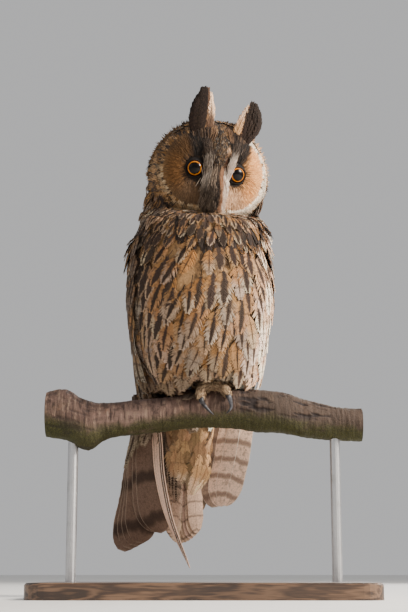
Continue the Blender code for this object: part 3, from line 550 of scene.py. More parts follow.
class Coat:
    """Many thin closed strands and vanes that become one piece."""

    def __init__(self, name, unwrap):
        self.name, self.unwrap = name, unwrap
        self.parts = {key: [] for key in ("points", "faces", "plan", "patch", "ground", "pale", "mark", "dose")}
        self.count = 0

    def _add(self, points, faces, plan, patch, looks):
        rows = {"points": points, "faces": faces + self.count, "plan": plan, "patch": patch, **looks}
        for key, part in self.parts.items():
            part.append(rows[key])
        self.count += len(points)

    def strands(self, line, side, normal, half, thick, plan, looks):
        """K closed strands of three sides: line (K, n, 3), side and normal alike, half and thick (K, n)."""
        number, rings = line.shape[:2]
        half, thick = half[..., None], thick[..., None]
        body = np.stack([line - side * half, line + side * half, line + normal * thick], 2)
        body = body[:, :-1].reshape(number, -1, 3)
        points = np.concatenate([body, line[:, -1:]], 1)
        per = points.shape[1]
        pattern = []
        for a in range(0, 3 * (rings - 2), 3):
            for p, q in ((0, 2), (2, 1), (1, 0)):
                pattern += [(a + p, a + q, a + 3 + q), (a + p, a + 3 + q, a + 3 + p)]
        a, end = 3 * (rings - 2), per - 1
        pattern += [(a, a + 2, end), (a + 2, a + 1, end), (a + 1, a, end), (0, 1, 2)]
        faces = (np.array(pattern)[None] + (np.arange(number) * per)[:, None, None]).reshape(-1, 3)
        spread = np.concatenate([np.repeat(plan[:, :-1], 3, axis=1), plan[:, -1:]], 1)
        along = np.concatenate([np.repeat(np.arange(rings - 1), 3), [rings - 1]]) / (rings - 1) - 0.5
        over = np.concatenate([np.tile([-0.5, 0.5, 0.0], rings - 1), [0.0]])
        patch = self.unwrap(line[:, 0])[:, None] + PATCH * np.stack([over, along], 1)[None]
        looks = {key: np.repeat(value, per, axis=0) for key, value in looks.items()}
        self._add(points.reshape(-1, 3), faces, spread.reshape(-1, 3), patch.reshape(-1, 2), looks)

    def feather(self, line, normals, half, mark, seed, barbs=15, lean=0.34, start=0.2, width=1.0, thick=0.35,
                ragged=0.12, shaft=0.35):
        """One feather built of barbs on both sides of a shaft. line is its shaft's curve and half its half width."""
        crown, rings, number = 0.12, 3, 2 * barbs
        draws = np.random.default_rng(int(seed * 1e6) + 11)
        place = np.linspace(0, 1, len(line))
        ahead = unit(np.gradient(line, axis=0))
        across = unit(np.cross(ahead, normals))

        def at(values, t):
            return np.stack([np.interp(t, place, values[:, k]) for k in range(3)], -1)

        length = np.linalg.norm(np.diff(line, axis=0), axis=1).sum()
        t0 = np.tile(start + (0.97 - start) * (np.arange(barbs) + 0.5) / barbs, 2)
        share = np.linspace(0.0, 1.0, rings)[None] ** 0.9
        reach = lean * (1 - 0.72 * smooth(0.55, 1.0, t0)) * (1 + draws.uniform(-ragged, ragged, number))
        t = t0[:, None] + reach[:, None] * share * 0.9
        over = np.clip(t, 0, 1)
        wide = np.interp(np.clip(t0 + reach * 0.9, 0, 1), place, half)
        wide = wide * (1 + draws.uniform(-ragged, ragged * 0.5, number))
        u = np.repeat([-1.0, 1.0], barbs)[:, None] * share**0.85
        beyond = np.maximum(t - 1.0, 0.0)[..., None] * length * unit(at(ahead, over))
        up = unit(at(normals, over))
        bowed = crown * wide[:, None] * (1 - u * u) + draws.uniform(-0.12, 0.12, (number, 1)) * share
        sideways = unit(at(across, over)) * (u * wide[:, None])[..., None]
        points = at(line, over) + beyond + sideways + up * bowed[..., None]
        side = unit(np.cross(unit(np.gradient(points, axis=1)), up))
        step = length * (0.97 - start) / barbs
        half_width = width * step * 0.62 * np.linspace(1.0, 0.75, rings)[None] * np.ones((number, 1))
        thickness = thick * (1 - 0.5 * share) * np.ones((number, 1))
        self.strands(points, side, up, half_width, thickness, np.stack([u, over, np.full(t.shape, seed)], -1),
                     packed(mark, number))
        ends = np.linspace(0, 0.93, 5)
        up = unit(at(normals, ends))
        spine = at(line, ends) + up * (crown * np.interp(ends, place, half) + 0.12)[:, None]
        slim = (shaft * (1 - 0.75 * ends))[None]
        plan = np.stack([np.zeros(5), ends, np.full(5, seed)], -1)[None]
        self.strands(spine[None], unit(at(across, ends))[None], up[None], slim, slim, plan, packed(mark, 1))

    def vane(self, line, normals, half, mark, seed, crown=0.10, thick=0.5, cells=6, ragged=0.0, shaft=0.6):
        """One stiff feather: a closed crowned sheet of fine strips, with a raised shaft."""
        draws = np.random.default_rng(int(seed * 1e6) + 23)
        count, row = len(line), 2 * cells + 1
        across = unit(np.cross(unit(np.gradient(line, axis=0)), normals))
        u, v = np.linspace(-1, 1, row)[None], np.linspace(0, 1, count)
        edge = 1 + ragged * draws.uniform(-1, 0.3, (count, 2))
        outer = np.where(np.abs(u) > 0.9, np.where(u < 0, edge[:, :1], edge[:, 1:]), 1.0)
        flat = line[:, None] + across[:, None] * (u * half[:, None] * outer)[..., None]
        ripple = 0.05 * np.sin(np.arange(count) * 2.1 + seed * 40)
        bow = crown * half[:, None] * (1 - u**2) + ripple[:, None] * np.abs(u)
        thin = thick * (0.35 + 0.65 * (1 - np.abs(u)) ** 0.5) * np.linspace(1.0, 0.8, count)[:, None] / 2
        top, under = (flat + normals[:, None] * (bow + side)[..., None] for side in (thin, -thin))
        other = count * row
        faces = []

        def wall(a, b, turn):
            quad = (a, other + a, other + b, b)[::turn]
            faces.extend([quad[:3], (quad[0], quad[2], quad[3])])

        for k in range(count - 1):
            for a in range(k * row, k * row + row - 1):
                b, c, d = a + 1, a + row, a + row + 1
                faces += [(a, d, b), (a, c, d), (other + a, other + b, other + d), (other + a, other + d, other + c)]
            for j, turn in ((0, 1), (row - 1, -1)):
                wall(k * row + j, (k + 1) * row + j, turn)
        for k, turn in ((0, -1), (count - 1, 1)):
            for a in range(k * row, k * row + row - 1):
                wall(a, a + 1, turn)
        u = np.tile(u[0], count)
        plan = np.stack([u, np.repeat(v, row), np.full(other, seed)], -1)
        patch = self.unwrap(line[:1]) + PATCH * np.stack([u * 0.5, np.repeat(v, row) - 0.5], 1)
        points = np.concatenate([top.reshape(-1, 3), under.reshape(-1, 3)])
        self._add(points, np.array(faces), np.tile(plan, (2, 1)), np.tile(patch, (2, 1)), packed(mark, 2 * other))
        if shaft > 0:
            slim = (shaft * np.linspace(1, 0.2, count))[None]
            plan = np.stack([np.full(count, 3.0), v, np.full(count, seed)], -1)[None]
            for turn in (1.0, -1.0):
                spine = line + normals * (crown * half + turn * 0.10 * thick)[:, None]
                self.strands(spine[None], across[None] * turn, normals[None] * turn, slim, slim * 0.9 + thick * 0.4,
                             plan, packed(mark, 1))

    def finish(self, material, slot, *nodes):
        rows = {key: np.concatenate(part) for key, part in self.parts.items()}
        item = make_mesh(self.name, rows["points"], rows["faces"])
        mesh = item.data
        plan_layer(mesh, rows["plan"])
        for key in ("ground", "pale", "mark", "dose"):
            colour_layer(mesh, key, rows[key])
        uv = mesh.uv_layers.new(name="OFBake")
        patch = np.clip(rows["patch"], 0.0, 1.0).astype(np.float32)
        corner = np.empty(len(mesh.loops), np.int32)
        mesh.loops.foreach_get("vertex_index", corner)
        uv.data.foreach_set("uv", patch[corner].ravel())
        mesh.materials.append(material)
        if nodes:
            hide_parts(*nodes)


def packed(mark, count):
    """A look as count rows of four numbers."""
    rows = {
        "ground": (*mark["ground"], 1.0),
        "pale": (*mark["pale"], mark["edge"]),
        "mark": (*mark["mark"], mark["bands"] / 20.0),
        "dose": (*mark["dose"], mark["soft"]),
    }
    return {key: np.tile(np.array(row), (count, 1)) for key, row in rows.items()}


def body_unwrap(low, high):
    """The body's skin rolled out flat round its upright axis."""

    def place(points):
        local = BODY.local(points)
        u = 0.5 + np.arctan2(local[:, 0], 12.0 - local[:, 1]) / (2 * np.pi)
        v = (local[:, 2] - low) / (high - low)
        return np.stack([0.01 + 0.98 * u, 0.01 + 0.98 * np.clip(v, 0, 1)], 1)

    return place


def head_unwrap(points):
    """The head's skin spread out flat from the middle of the face."""
    local = HEAD.local(points)
    turn = np.arctan2(local[:, 2], local[:, 0])
    away = np.arctan2(np.hypot(local[:, 0], local[:, 2]), -(local[:, 1] + 2.0)) / np.pi
    return np.stack([0.5 + 0.49 * away * np.cos(turn), 0.5 + 0.49 * away * np.sin(turn)], 1)


class Surface:
    """The skin, to root feathers on and to lay them along."""

    def __init__(self, item):
        mesh = item.data
        mesh.calc_loop_triangles()
        self.points = read(mesh.vertices, "co").astype(float) / MM
        self.tris = read(mesh.loop_triangles, "vertices", np.int32)
        self.tree = BVHTree.FromPolygons([tuple(p) for p in self.points], [tuple(t) for t in self.tris.tolist()])
        corners = self.points[self.tris]
        normal = np.cross(corners[:, 1] - corners[:, 0], corners[:, 2] - corners[:, 0])
        self.area = np.linalg.norm(normal, axis=1) / 2
        self.normal = unit(normal)

    def scatter(self, keep, spacing, seed, tries=9.0, tall=1.0):
        """Roots spread evenly at random over the skin where keep is true, wider apart up and down by tall."""
        draws = np.random.default_rng(seed)
        middle = self.points[self.tris].mean(1)
        room = spacing(middle) if callable(spacing) else np.full(len(middle), spacing)
        weight = np.where(keep(middle), self.area / room**2, 0.0)
        number = int(weight.sum() * tries / tall)
        chosen = draws.choice(len(self.tris), number, p=weight / weight.sum())
        a, b = draws.random(number), draws.random(number)
        flip = a + b > 1
        a, b = np.where(flip, 1 - a, a)[:, None], np.where(flip, 1 - b, b)[:, None]
        first, second, third = self.points[self.tris[chosen]].transpose(1, 0, 2)
        spots = first + (second - first) * a + (third - first) * b
        squeezed = spots * np.array((1.0, 1.0, 1.0 / tall))
        keys = np.floor(squeezed / float(room[chosen].max())).astype(int)
        limits = (room[chosen] * 0.86) ** 2
        around = [(i, j, m) for i in (-1, 0, 1) for j in (-1, 0, 1) for m in (-1, 0, 1)]
        grid, taken = {}, []

        def crowded(k):
            i, j, m = keys[k]
            for di, dj, dm in around:
                for other in grid.get((i + di, j + dj, m + dm), ()):
                    x, y, z = squeezed[other] - squeezed[k]
                    if x * x + y * y + z * z < limits[k]:
                        return True
            return False

        for k in range(number):
            if not crowded(k):
                grid.setdefault(tuple(keys[k]), []).append(k)
                taken.append(k)
        return spots[taken], self.normal[chosen[taken]]

    def lay(self, roots, normals, flow, lengths, steps, lifts, free=None, stray=0.0, seed=1):
        """Shaft lines from the roots along the flow, close over the skin and lifting off it toward their tips."""
        spin = np.random.default_rng(seed).normal(0.0, stray, len(roots))[:, None]
        spot, normal = roots, normals
        lines, ups = [spot], [normal]
        step = (np.asarray(lengths) / (steps - 1))[:, None]
        for _ in range(steps - 1):
            way = flow(spot)
            way = unit(way - normal * (way * normal).sum(1, keepdims=True))
            way = unit(way + np.cross(normal, way) * spin)
            ahead = spot + way * step
            nearest = [self.tree.find_nearest(point) for point in ahead]
            found, facing = (np.array([hit[k] for hit in nearest]) for k in (0, 1))
            loose = free(spot)[:, None] if free else 0.0
            fresh = unit(normal * 0.55 + facing * 0.45)
            normal = unit(fresh * (1 - loose) + normal * loose)
            spot = found * (1 - loose) + ahead * loose
            lines.append(spot)
            ups.append(normal)
        lines, ups = np.stack(lines, 1), np.stack(ups, 1)
        rise = np.linspace(0, 1, steps)[None, :, None] ** 0.8
        low, high = lifts
        high = np.broadcast_to(np.asarray(high, float), (len(roots),))[:, None, None]
        return lines + ups * (low + (high - low) * rise), ups


# ---------------------------------------------------------------- materials


class Value:
    """A node's output that can be added, subtracted and multiplied."""

    def __init__(self, nodes, socket):
        self.nodes, self.socket = nodes, socket

    def __add__(self, other):
        return self.nodes.math("ADD", self, other)

    def __sub__(self, other):
        return self.nodes.math("SUBTRACT", self, other)

    def __rsub__(self, other):
        return self.nodes.math("SUBTRACT", other, self)

    def __mul__(self, other):
        return self.nodes.math("MULTIPLY", self, other)


class Nodes:
    """A short way to wire a material's nodes."""

    def __init__(self, name):
        self.material = bpy.data.materials.new(name)
        self.material.use_nodes = True
        self.tree = self.material.node_tree
        self.shader = self.tree.nodes["Principled BSDF"]

    def put(self, socket, value):
        if isinstance(value, Value):
            self.tree.links.new(value.socket, socket)
        else:
            socket.default_value = (*value, 1.0) if socket.type == "RGBA" else value

    def node(self, kind, inputs, output=0, **settings):
        """One output of a new node, from its inputs by number or name and its own settings."""
        node = self.tree.nodes.new("ShaderNode" + kind)
        for name, value in settings.items():
            setattr(node, name, value)
        for key, value in inputs.items():
            self.put(node.inputs[key], value)
        return Value(self, node.outputs[output])

    def outputs(self, first):
        return [Value(self, socket) for socket in first.socket.node.outputs]

    def attribute(self, name):
        """A point attribute's colour and alpha."""
        colour, _, _, alpha = self.outputs(self.node("Attribute", {}, attribute_name=name))
        return colour, alpha

    def plan(self, name="plan"):
        """The three numbers of a point attribute."""
        vector = self.node("Attribute", {}, "Vector", attribute_name=name)
        return self.outputs(self.node("SeparateXYZ", {0: vector}))

    def math(self, kind, *values):
        return self.node("Math", dict(enumerate(values)), operation=kind)

    def join(self, *values):
        return self.node("CombineXYZ", dict(enumerate(values)))

    def noise(self, vector, scale, detail=2.0, rough=0.5, stretch=None):
        if stretch:
            vector = self.node("Mapping", {"Vector": vector, "Scale": stretch})
        return self.node("TexNoise", {"Vector": vector, "Scale": scale, "Detail": detail, "Roughness": rough})

    def step(self, value, low, high):
        inputs = {"Value": value, "From Min": low, "From Max": high}
        return self.node("MapRange", inputs, interpolation_type="SMOOTHSTEP")

    def mix(self, factor, first, second, kind="MIX"):
        return self.node("Mix", {"Factor": factor, 6: first, 7: second}, 2, data_type="RGBA", blend_type=kind)

    def ramp(self, value, *stops):
        output = self.node("ValToRGB", {0: value})
        points = output.socket.node.color_ramp.elements
        while len(points) < len(stops):
            points.new(0.5)
        for point, (at, colour) in zip(points, stops):
            point.position, point.color = at, (*colour, 1.0)
        return output

    def shaded(self, colour, grain, *stops):
        """The colour, lighter and darker with the grain."""
        return self.mix(1.0, colour, self.ramp(grain, *stops), "MULTIPLY")

    def coordinates(self):
        return self.node("TexCoord", {}, "Object")

    def finish(self, colour, rough, bump, **values):
        """Sets the shader. bump is a height, a strength and a distance, and values the shader's other inputs."""
        if bump:
            normal = self.node("Bump", dict(zip(("Height", "Strength", "Distance"), bump)))
            self.put(self.shader.inputs["Normal"], normal)
        for name, value in {"Base_Color": colour, "Roughness": rough, **values}.items():
            self.put(self.shader.inputs[name.replace("_", " ")], value)
        return self.material


def plumage(name, rough=0.78, waver=2.6):
    """Feathers: marks are drawn from each feather's own plan, across (u) and along (v), and its doses."""
    n = Nodes(name)
    u, v, seed = n.plan()
    streak, bars, specks = n.plan("dose")
    ground, _ = n.attribute("ground")
    pale, edge = n.attribute("pale")
    mark, bands = n.attribute("mark")
    _, softness = n.attribute("dose")
    away = n.math("ABSOLUTE", u)
    own = seed * 97.0
    wobble = n.noise(n.join(u + own, v * 2.2, own), 2.6) - 0.5
    fine = n.noise(n.join(u * 1.6 + own, v * 9.0, own), 3.4, 3.0, 0.6)
    # The outer half turns to the pale colour, more at the sides than along the shaft
    plain = n.step(v + away * 0.18 + wobble * 0.35, 0.52, 0.86) * n.step(edge, 0.05, 0.0)
    # A pale rim instead, where the plan gives one
    inner = 1.0 - edge
    rim = n.math("MAXIMUM", n.step(away, inner, inner + 0.14), n.step(v, 1.0 - edge * 0.2, 1.02))
    rim = rim * n.step(edge, 0.0, 0.04)
    colour = n.mix(plain, ground, pale)
    # The dark streak along the shaft, wider toward the tip and pointed at its end
    swell = (n.step(v, 0.25, 0.75) * 0.6 + 0.55) * n.step(v, 1.12, 0.92)
    blade = n.step(streak * swell + wobble * streak * 1.3 - away, -0.08, 0.14) * n.step(streak, 0.0, 0.05)
    # Bars across the vane, a little bent back toward the edges
    phase = (v - away * 0.02) * (bands * 20.0 * 6.2832) + (wobble * waver + seed * 6.0)
    bar = n.step(n.math("SINE", phase), 1.0 - bars * 1.35, 1.02) * n.step(bars, 0.0, 0.1)
    speck = n.step(fine, 0.47, 0.66) * specks
    colour = n.mix(n.math("MAXIMUM", blade, n.math("MAXIMUM", bar * softness, speck)), colour, mark)
    colour = n.mix(rim, colour, pale)
    # A white shaft where the plan says so, and the soft variation that every feather has
    colour = n.mix(n.step(u, 1.5, 2.5), colour, n.mix(0.62, colour, (0.83, 0.78, 0.7)))
    grain = n.noise(n.coordinates(), 900.0, 2.0, 0.6)
    colour = n.shaded(colour, grain, (0.25, (0.74, 0.74, 0.75)), (0.75, (1.2, 1.19, 1.17)))
    return n.finish(colour, grain * 0.2 + (rough - 0.1), (grain + fine * 0.5, 0.25, 0.0004),
                    Specular_IOR_Level=0.14, Sheen_Weight=0.05, Sheen_Roughness=0.5)


def skin_material():
    """Skin and down below the coat, in the coat's own colours and markings."""
    n = Nodes("skin_down")
    ground, _ = n.attribute("ground")
    mark, strength = n.attribute("mark")
    blotch = n.noise(n.coordinates(), 120.0, 3.0, 0.6, (1.0, 1.0, 0.45))
    fine = n.noise(n.coordinates(), 700.0, 3.0, 0.6)
    colour = n.mix(n.step(blotch, 0.44, 0.6) * strength, ground, mark)
    colour = n.shaded(colour, fine, (0.2, (0.7, 0.7, 0.7)), (0.8, (1.15, 1.14, 1.12)))
    return n.finish(colour, fine * 0.2 + 0.75, (blotch + fine, 0.6, 0.0012), Specular_IOR_Level=0.2)


def eye_material():
    """The eye: a black pupil, an orange iris with darker spokes and edge, and a clear wet front."""
    n = Nodes("eye_wet")
    angle, turn, _ = n.plan()
    spokes = n.noise(n.join(turn * 7.0, angle * 1.2, 0.0), 3.0, 3.0, 0.6)
    colour = n.ramp(angle + (spokes - 0.5) * 0.018,
                    (0.0, (0.001, 0.001, 0.001)), (0.505, (0.002, 0.001, 0.001)), (0.525, (0.20, 0.07, 0.003)),
                    (0.565, (0.54, 0.20, 0.009)), (0.615, (0.40, 0.125, 0.005)), (0.65, (0.10, 0.025, 0.002)),
                    (0.685, (0.004, 0.003, 0.003)), (1.0, (0.006, 0.005, 0.005)))
    colour = n.shaded(colour, spokes, (0.2, (0.62, 0.55, 0.5)), (0.8, (1.15, 1.1, 1.0)))
    return n.finish(colour, spokes * 0.2 + 0.25, (spokes, 0.08, 0.0002), Specular_IOR_Level=0.05, Coat_Weight=0.55,
                    Coat_Roughness=0.03, Coat_IOR=1.33)


def horn_material(name, deep, light):
    """Bill and claws: dark horn, with fine lengthwise growth lines and a worn, paler side."""
    n = Nodes(name)
    lines = n.noise(n.coordinates(), 900.0, 3.0, 0.6, (1.0, 1.0, 0.15))
    cloud = n.noise(n.coordinates(), 180.0)
    colour = n.mix(lines * 0.5, n.mix(n.step(cloud, 0.4, 0.75), deep, light), (0.01, 0.01, 0.012))
    return n.finish(colour, lines * 0.25 + 0.36, (lines + cloud * 0.5, 0.3, 0.0003), Specular_IOR_Level=0.35,
                    Coat_Weight=0.12, Coat_Roughness=0.35)


def lid_material():
    """The dark bare skin of the lids."""
    n = Nodes("lid_skin")
    grain = n.noise(n.coordinates(), 1500.0, 3.0, 0.65)
    colour = n.ramp(n.noise(n.coordinates(), 300.0), (0.3, (0.004, 0.003, 0.003)), (0.8, (0.014, 0.010, 0.008)))
    return n.finish(colour, grain * 0.3 + 0.55, (grain, 0.6, 0.0003), Specular_IOR_Level=0.22)


def bark_material():
    """Smooth grey-brown bark with cross cracks and pores, darker to the bird's left and green with algae below."""
    n = Nodes("bark")
    spot = n.coordinates()
    x = n.node("SeparateXYZ", {0: spot})
    crack, _, moss = n.plan()
    band = n.noise(spot, 420.0, 4.0, 0.65, (1.0, 0.16, 0.16))
    cloud, fine = n.noise(spot, 28.0, 3.0, 0.6), n.noise(spot, 1300.0, 3.0, 0.65)
    patch, pores = n.noise(spot, 75.0, 3.0, 0.6), n.noise(spot, 190.0, 3.0, 0.6)
    colour = n.ramp(cloud, (0.30, (0.060, 0.036, 0.028)), (0.5, (0.125, 0.076, 0.060)), (0.72, (0.215, 0.140, 0.112)))
    for share, other in (
        (n.step(band, 0.52, 0.68) * 0.60, (0.31, 0.215, 0.155)),
        (n.step(band, 0.47, 0.33) * 0.85, (0.028, 0.016, 0.013)),
        (n.step(pores, 0.56, 0.66) * 0.55, (0.030, 0.018, 0.015)),
        (n.step(patch, 0.58, 0.75) * 0.45, (0.30, 0.16, 0.10)),
        (n.step(x, -0.01, 0.05) * 0.78, (0.030, 0.021, 0.014)),
        (moss * n.step(patch + moss * 0.34, 0.46, 0.74),
         n.mix(n.step(fine, 0.3, 0.7), (0.016, 0.017, 0.006), (0.070, 0.068, 0.020))),
        (crack, (0.018, 0.012, 0.011)),
    ):
        colour = n.mix(share, colour, other)
    colour = n.shaded(colour, fine, (0.2, (0.66, 0.66, 0.66)), (0.8, (1.28, 1.26, 1.24)))
    return n.finish(colour, fine * 0.25 + 0.66, (band * 1.2 + fine * 0.5, 0.75, 0.0009), Specular_IOR_Level=0.3)


def cut_wood_material():
    """The sawn ends of the branch: pale wood with year rings, drying cracks and a dark pith."""
    n = Nodes("cut_wood")
    away, turn, _ = n.plan()
    rings = n.math("SINE", (away + n.noise(n.coordinates(), 90.0) * 0.10) * 62.0)
    saw = n.noise(n.coordinates(), 900.0, 2.0, 0.6, (1.0, 0.1, 1.0))
    spoke = n.noise(n.join(turn * 5.0, away * 0.6, 0.0), 3.0)
    colour = n.mix(n.step(rings, -0.2, 0.9), (0.52, 0.36, 0.22), (0.32, 0.20, 0.11))
    colour = n.mix(n.step(away, 0.10, 0.03), colour, (0.10, 0.06, 0.035))
    colour = n.mix(n.step(away, 0.88, 0.96), colour, (0.09, 0.06, 0.05))
    colour = n.mix(n.step(spoke, 0.66, 0.72) * 0.8, colour, (0.06, 0.035, 0.02))
    colour = n.shaded(colour, saw, (0.2, (0.78, 0.78, 0.78)), (0.8, (1.12, 1.12, 1.12)))
    return n.finish(colour, saw * 0.2 + 0.6, (saw + rings * 0.4, 0.4, 0.0004))


def walnut_material():
    """Oiled dark walnut with long grain, pores and a soft polish."""
    n = Nodes("walnut")
    spot = n.coordinates()
    grain = n.noise(spot, 26.0, 4.0, 0.6, (0.35, 3.2, 3.2))
    rings = n.math("SINE", (grain + n.noise(spot, 9.0) * 0.8) * 38.0)
    pores = n.noise(spot, 210.0, 2.0, 0.6, (0.12, 4.0, 4.0))
    colour = n.ramp(rings * 0.22 + grain,
                    (0.25, (0.028, 0.015, 0.009)), (0.5, (0.075, 0.040, 0.022)), (0.8, (0.15, 0.085, 0.048)))
    colour = n.mix(n.step(pores, 0.62, 0.74) * 0.7, colour, (0.015, 0.008, 0.005))
    return n.finish(colour, pores * 0.2 + 0.34, (pores + rings * 0.1, 0.25, 0.0004), Specular_IOR_Level=0.45,
                    Coat_Weight=0.3, Coat_Roughness=0.25)


def steel_material():
    """Brushed steel, with fine lines round the rod and a few dull marks."""
    n = Nodes("brushed_steel")
    lines = n.noise(n.coordinates(), 1500.0, 3.0, 0.6, (0.05, 0.05, 1.0))
    dull = n.noise(n.coordinates(), 60.0, 3.0, 0.6)
    colour = n.mix(n.step(dull, 0.5, 0.8), (0.60, 0.60, 0.61), (0.42, 0.41, 0.40))
    colour = n.mix(lines * 0.35, colour, (0.30, 0.30, 0.31))
    return n.finish(colour, lines * 0.22 + 0.26, (lines, 0.15, 0.0002), Metallic=1.0)


# ---------------------------------------------------------------- colours of the bird

DARK = np.array((0.022, 0.015, 0.012))
BROWN = np.array((0.075, 0.045, 0.030))
GREY_BROWN = np.array((0.150, 0.104, 0.070))
BUFF = np.array((0.44, 0.255, 0.118))
OCHRE = np.array((0.41, 0.205, 0.068))
CREAM = np.array((0.68, 0.52, 0.34))
GREY_WHITE = np.array((0.47, 0.395, 0.325))
WHITE = np.array((0.80, 0.70, 0.59))
PINKISH = np.array((0.66, 0.46, 0.34))


def vary(colour, draws, amount=0.12):
    colour = np.asarray(colour, float)
    return np.clip(colour * (1 + draws.uniform(-amount, amount)) * (1 + draws.uniform(-0.04, 0.04, 3)), 0, 1)


def dimmed(mark, share):
    """A look with its ground colour and pale colour made darker."""
    return {**mark, "ground": mark["ground"] * share, "pale": mark["pale"] * share}


def body_angle(local):
    """The bearing round the body: 0 in front, negative to the bird's right, in degrees."""
    rows = sorted(TORSO)
    middle = np.interp(local[..., 2], [row[0] for row in rows], [(row[2] + row[3]) / 2 for row in rows])
    return np.degrees(np.arctan2(local[..., 0], middle - local[..., 1]))


def breast_look(local, draws):
    """The look of one breast or belly feather at its place, with painted sunlight on the bird's left and painted shade
    on its right.
    """
    height, bearing = float(local[2]), float(body_angle(local))
    up, low = float(smooth(75, 128, height)), float(smooth(58, 26, height))
    # The weight for the bird's left side: there the feathers are paler and pinker, with paler marks and fewer streaks,
    # partly their own colour and partly painted sunlight
    sunlit_left, flank = float(smooth(6, 46, bearing)), float(smooth(-36, -58, bearing))
    ground = mix(BUFF, OCHRE, draws.random() * 0.9) * 0.86
    ground = mix(ground, PINKISH, 0.7 * sunlit_left)
    pale = mix(GREY_WHITE, BUFF, 0.7 * (draws.random() ** 2.5)) * draws.uniform(0.75, 1.12)
    pale = mix(pale, WHITE, 0.8 * sunlit_left + 0.06 * low)
    pale = mix(pale, CREAM, 0.35 * low * (1 - sunlit_left))
    if -62 < bearing < -24 and 100 < height < 126 and draws.random() < 0.6:
        pale = mix(OCHRE, GREY_WHITE, 0.25 * draws.random())
        ground = OCHRE * 0.9
    if draws.random() < 0.14 + 0.2 * up:
        pale = mix(pale, OCHRE, 0.6)
    mark = mix(DARK, BROWN, 0.35 + 0.4 * low + 0.35 * sunlit_left * draws.random()) * (1 + 1.2 * sunlit_left * low)
    streak = 0.30 + 0.14 * up - 0.05 * low - (0.08 + 0.10 * low) * sunlit_left + draws.uniform(-0.09, 0.08)
    # Toward the throat the dark marks run together in blotches
    blotch = float(noise(np.asarray(local, float)[None], 5.5, 3.0)[0])
    if height > 108 and blotch > 0.52 + 0.05 * sunlit_left + 0.08 * float(smooth(124, 108, height)):
        streak += 0.20
        pale, ground = mix(pale, BROWN, 0.45), mix(ground, BROWN, 0.5)
    if draws.random() < 0.10:
        streak = 0.12
    pale = mix(pale, GREY_BROWN * 2.3, 0.6 * flank)
    ground = mix(ground, GREY_BROWN * 1.8, 0.5 * flank)
    # light is painted light and shade: brighter on the bird's left and darker on its right, more so low on the belly,
    # and a little lighter again on the right flank
    light = mix((0.74, 0.67, 0.60), (1.20, 1.16, 1.12), sunlit_left) * (1 + (0.78 * sunlit_left - 0.44) * low) * (1 + 0.3 * flank)
    colours = vary(ground * light, draws), vary(pale * light, draws), vary(mark, draws, 0.3)
    bars = 0.11 + 0.10 * up - 0.04 * low
    return look(*colours, max(streak + 0.06 * flank, 0.0), bars, 0.12 + 0.12 * draws.random(), draws.uniform(3.2, 4.6),
                soft=0.62)


def mantle_look(draws):
    """Back, shoulders and small wing feathers: dark grey-brown, finely specked, with ochre at the base."""
    shade = draws.uniform(0.6, 1.1)
    ground = mix(OCHRE, GREY_BROWN, 0.25 + draws.random() * 0.7) * shade
    pale = mix(GREY_BROWN, GREY_WHITE, 0.02 + 0.45 * draws.random() ** 1.5) * shade
    kind = draws.random()
    if kind < 0.27:
        pale = mix(pale, OCHRE if kind < 0.20 else CREAM, 0.6)
    mark = mix(DARK, BROWN, draws.random() * 0.6)
    colours = vary(ground, draws), vary(pale, draws), vary(mark, draws, 0.25)
    doses = [draws.uniform(*span) for span in ((0.12, 0.48), (0.15, 0.45), (0.6, 1.0), (3.5, 6.0))]
    return look(*colours, *doses, soft=0.8)


# ---------------------------------------------------------------- the work

skin = build_skin()
surface = Surface(skin)
feather_material = plumage("feathers")
stiff_material = plumage("flight_feathers", 0.6, 1.3)


def heights(points):
    """How high points are over the middle of the branch."""
    return BODY.local(points)[:, 2]


def in_face(points, margin=0.0):
    """Whether points lie on the front of the head, inside its rim."""
    x, y, z = HEAD.local(points).T
    depth = y - head_front(x, z)
    return (y < -2.0) & (head_radial(x, z) < 1.0 + margin) & (depth < 9.0) & ((depth > -2.5) | (z > -16))


def on_head(points):
    """Whether points lie on the head, front or back."""
    x, y, z = HEAD.local(points).T
    return (head_radial(x, z) < 1.06) & (y < 50) & (z > -30)


def flow(points):
    """Which way feathers lie: down the body, in over the branch, back and down over the head."""
    local = BODY.local(points)
    bearing = body_angle(local)
    lean = 0.42 * smooth(-8, -40, bearing) - 0.20 * smooth(2, 22, bearing) * smooth(60, 38, bearing)
    lean = np.where(np.abs(bearing) > 100, 0.0, lean)
    sideways = unit(np.stack([-(8.0 - local[:, 1]), -local[:, 0], np.zeros(len(local))], 1))
    body = unit(np.array((0.0, 0.0, -1.0)) + sideways * lean[:, None])
    inward = 0.32 * np.clip((-4.0 - local[:, 1]) / 24.0, -0.5, 1.25) * smooth(46, 36, local[:, 2])
    body[:, 1] += inward * (local[:, 2] > 8)
    body = BODY.way(unit(body))
    p = HEAD.local(points)
    back = np.stack([p[:, 0] * 0.006, np.ones(len(p)), -0.55 - 0.012 * np.maximum(p[:, 1], 0)], 1)
    share = (smooth(-30, -12, p[:, 2]) * on_head(points))[:, None]
    return unit(body * (1 - share) + HEAD.way(unit(back)) * share)


def off_branch(lines):
    """The same lines, moved out where they would enter the branch."""
    p = STAND.local(lines)
    xs = np.linspace(-122, 122, 200)
    rows = [perch_axis(x) for x in xs]
    middle = np.interp(p[..., 0], xs, [row[0][2] for row in rows])
    radius = np.interp(p[..., 0], xs, [row[1] for row in rows]) + 0.9
    y, z = p[..., 1], p[..., 2] - middle
    away = np.maximum(np.hypot(y, z), 1e-6)
    grow = np.maximum(1.0, radius / away)
    p[..., 1], p[..., 2] = y * grow, middle + z * grow
    return STAND.world(p)


def belly_free(points):
    """Where feathers hang free of the skin: below the belly's edge."""
    local = BODY.local(points)
    return smooth(44.0, 36.0, local[:, 2]) * (local[:, 1] < 30) * (local[:, 2] > 8) * 0.94


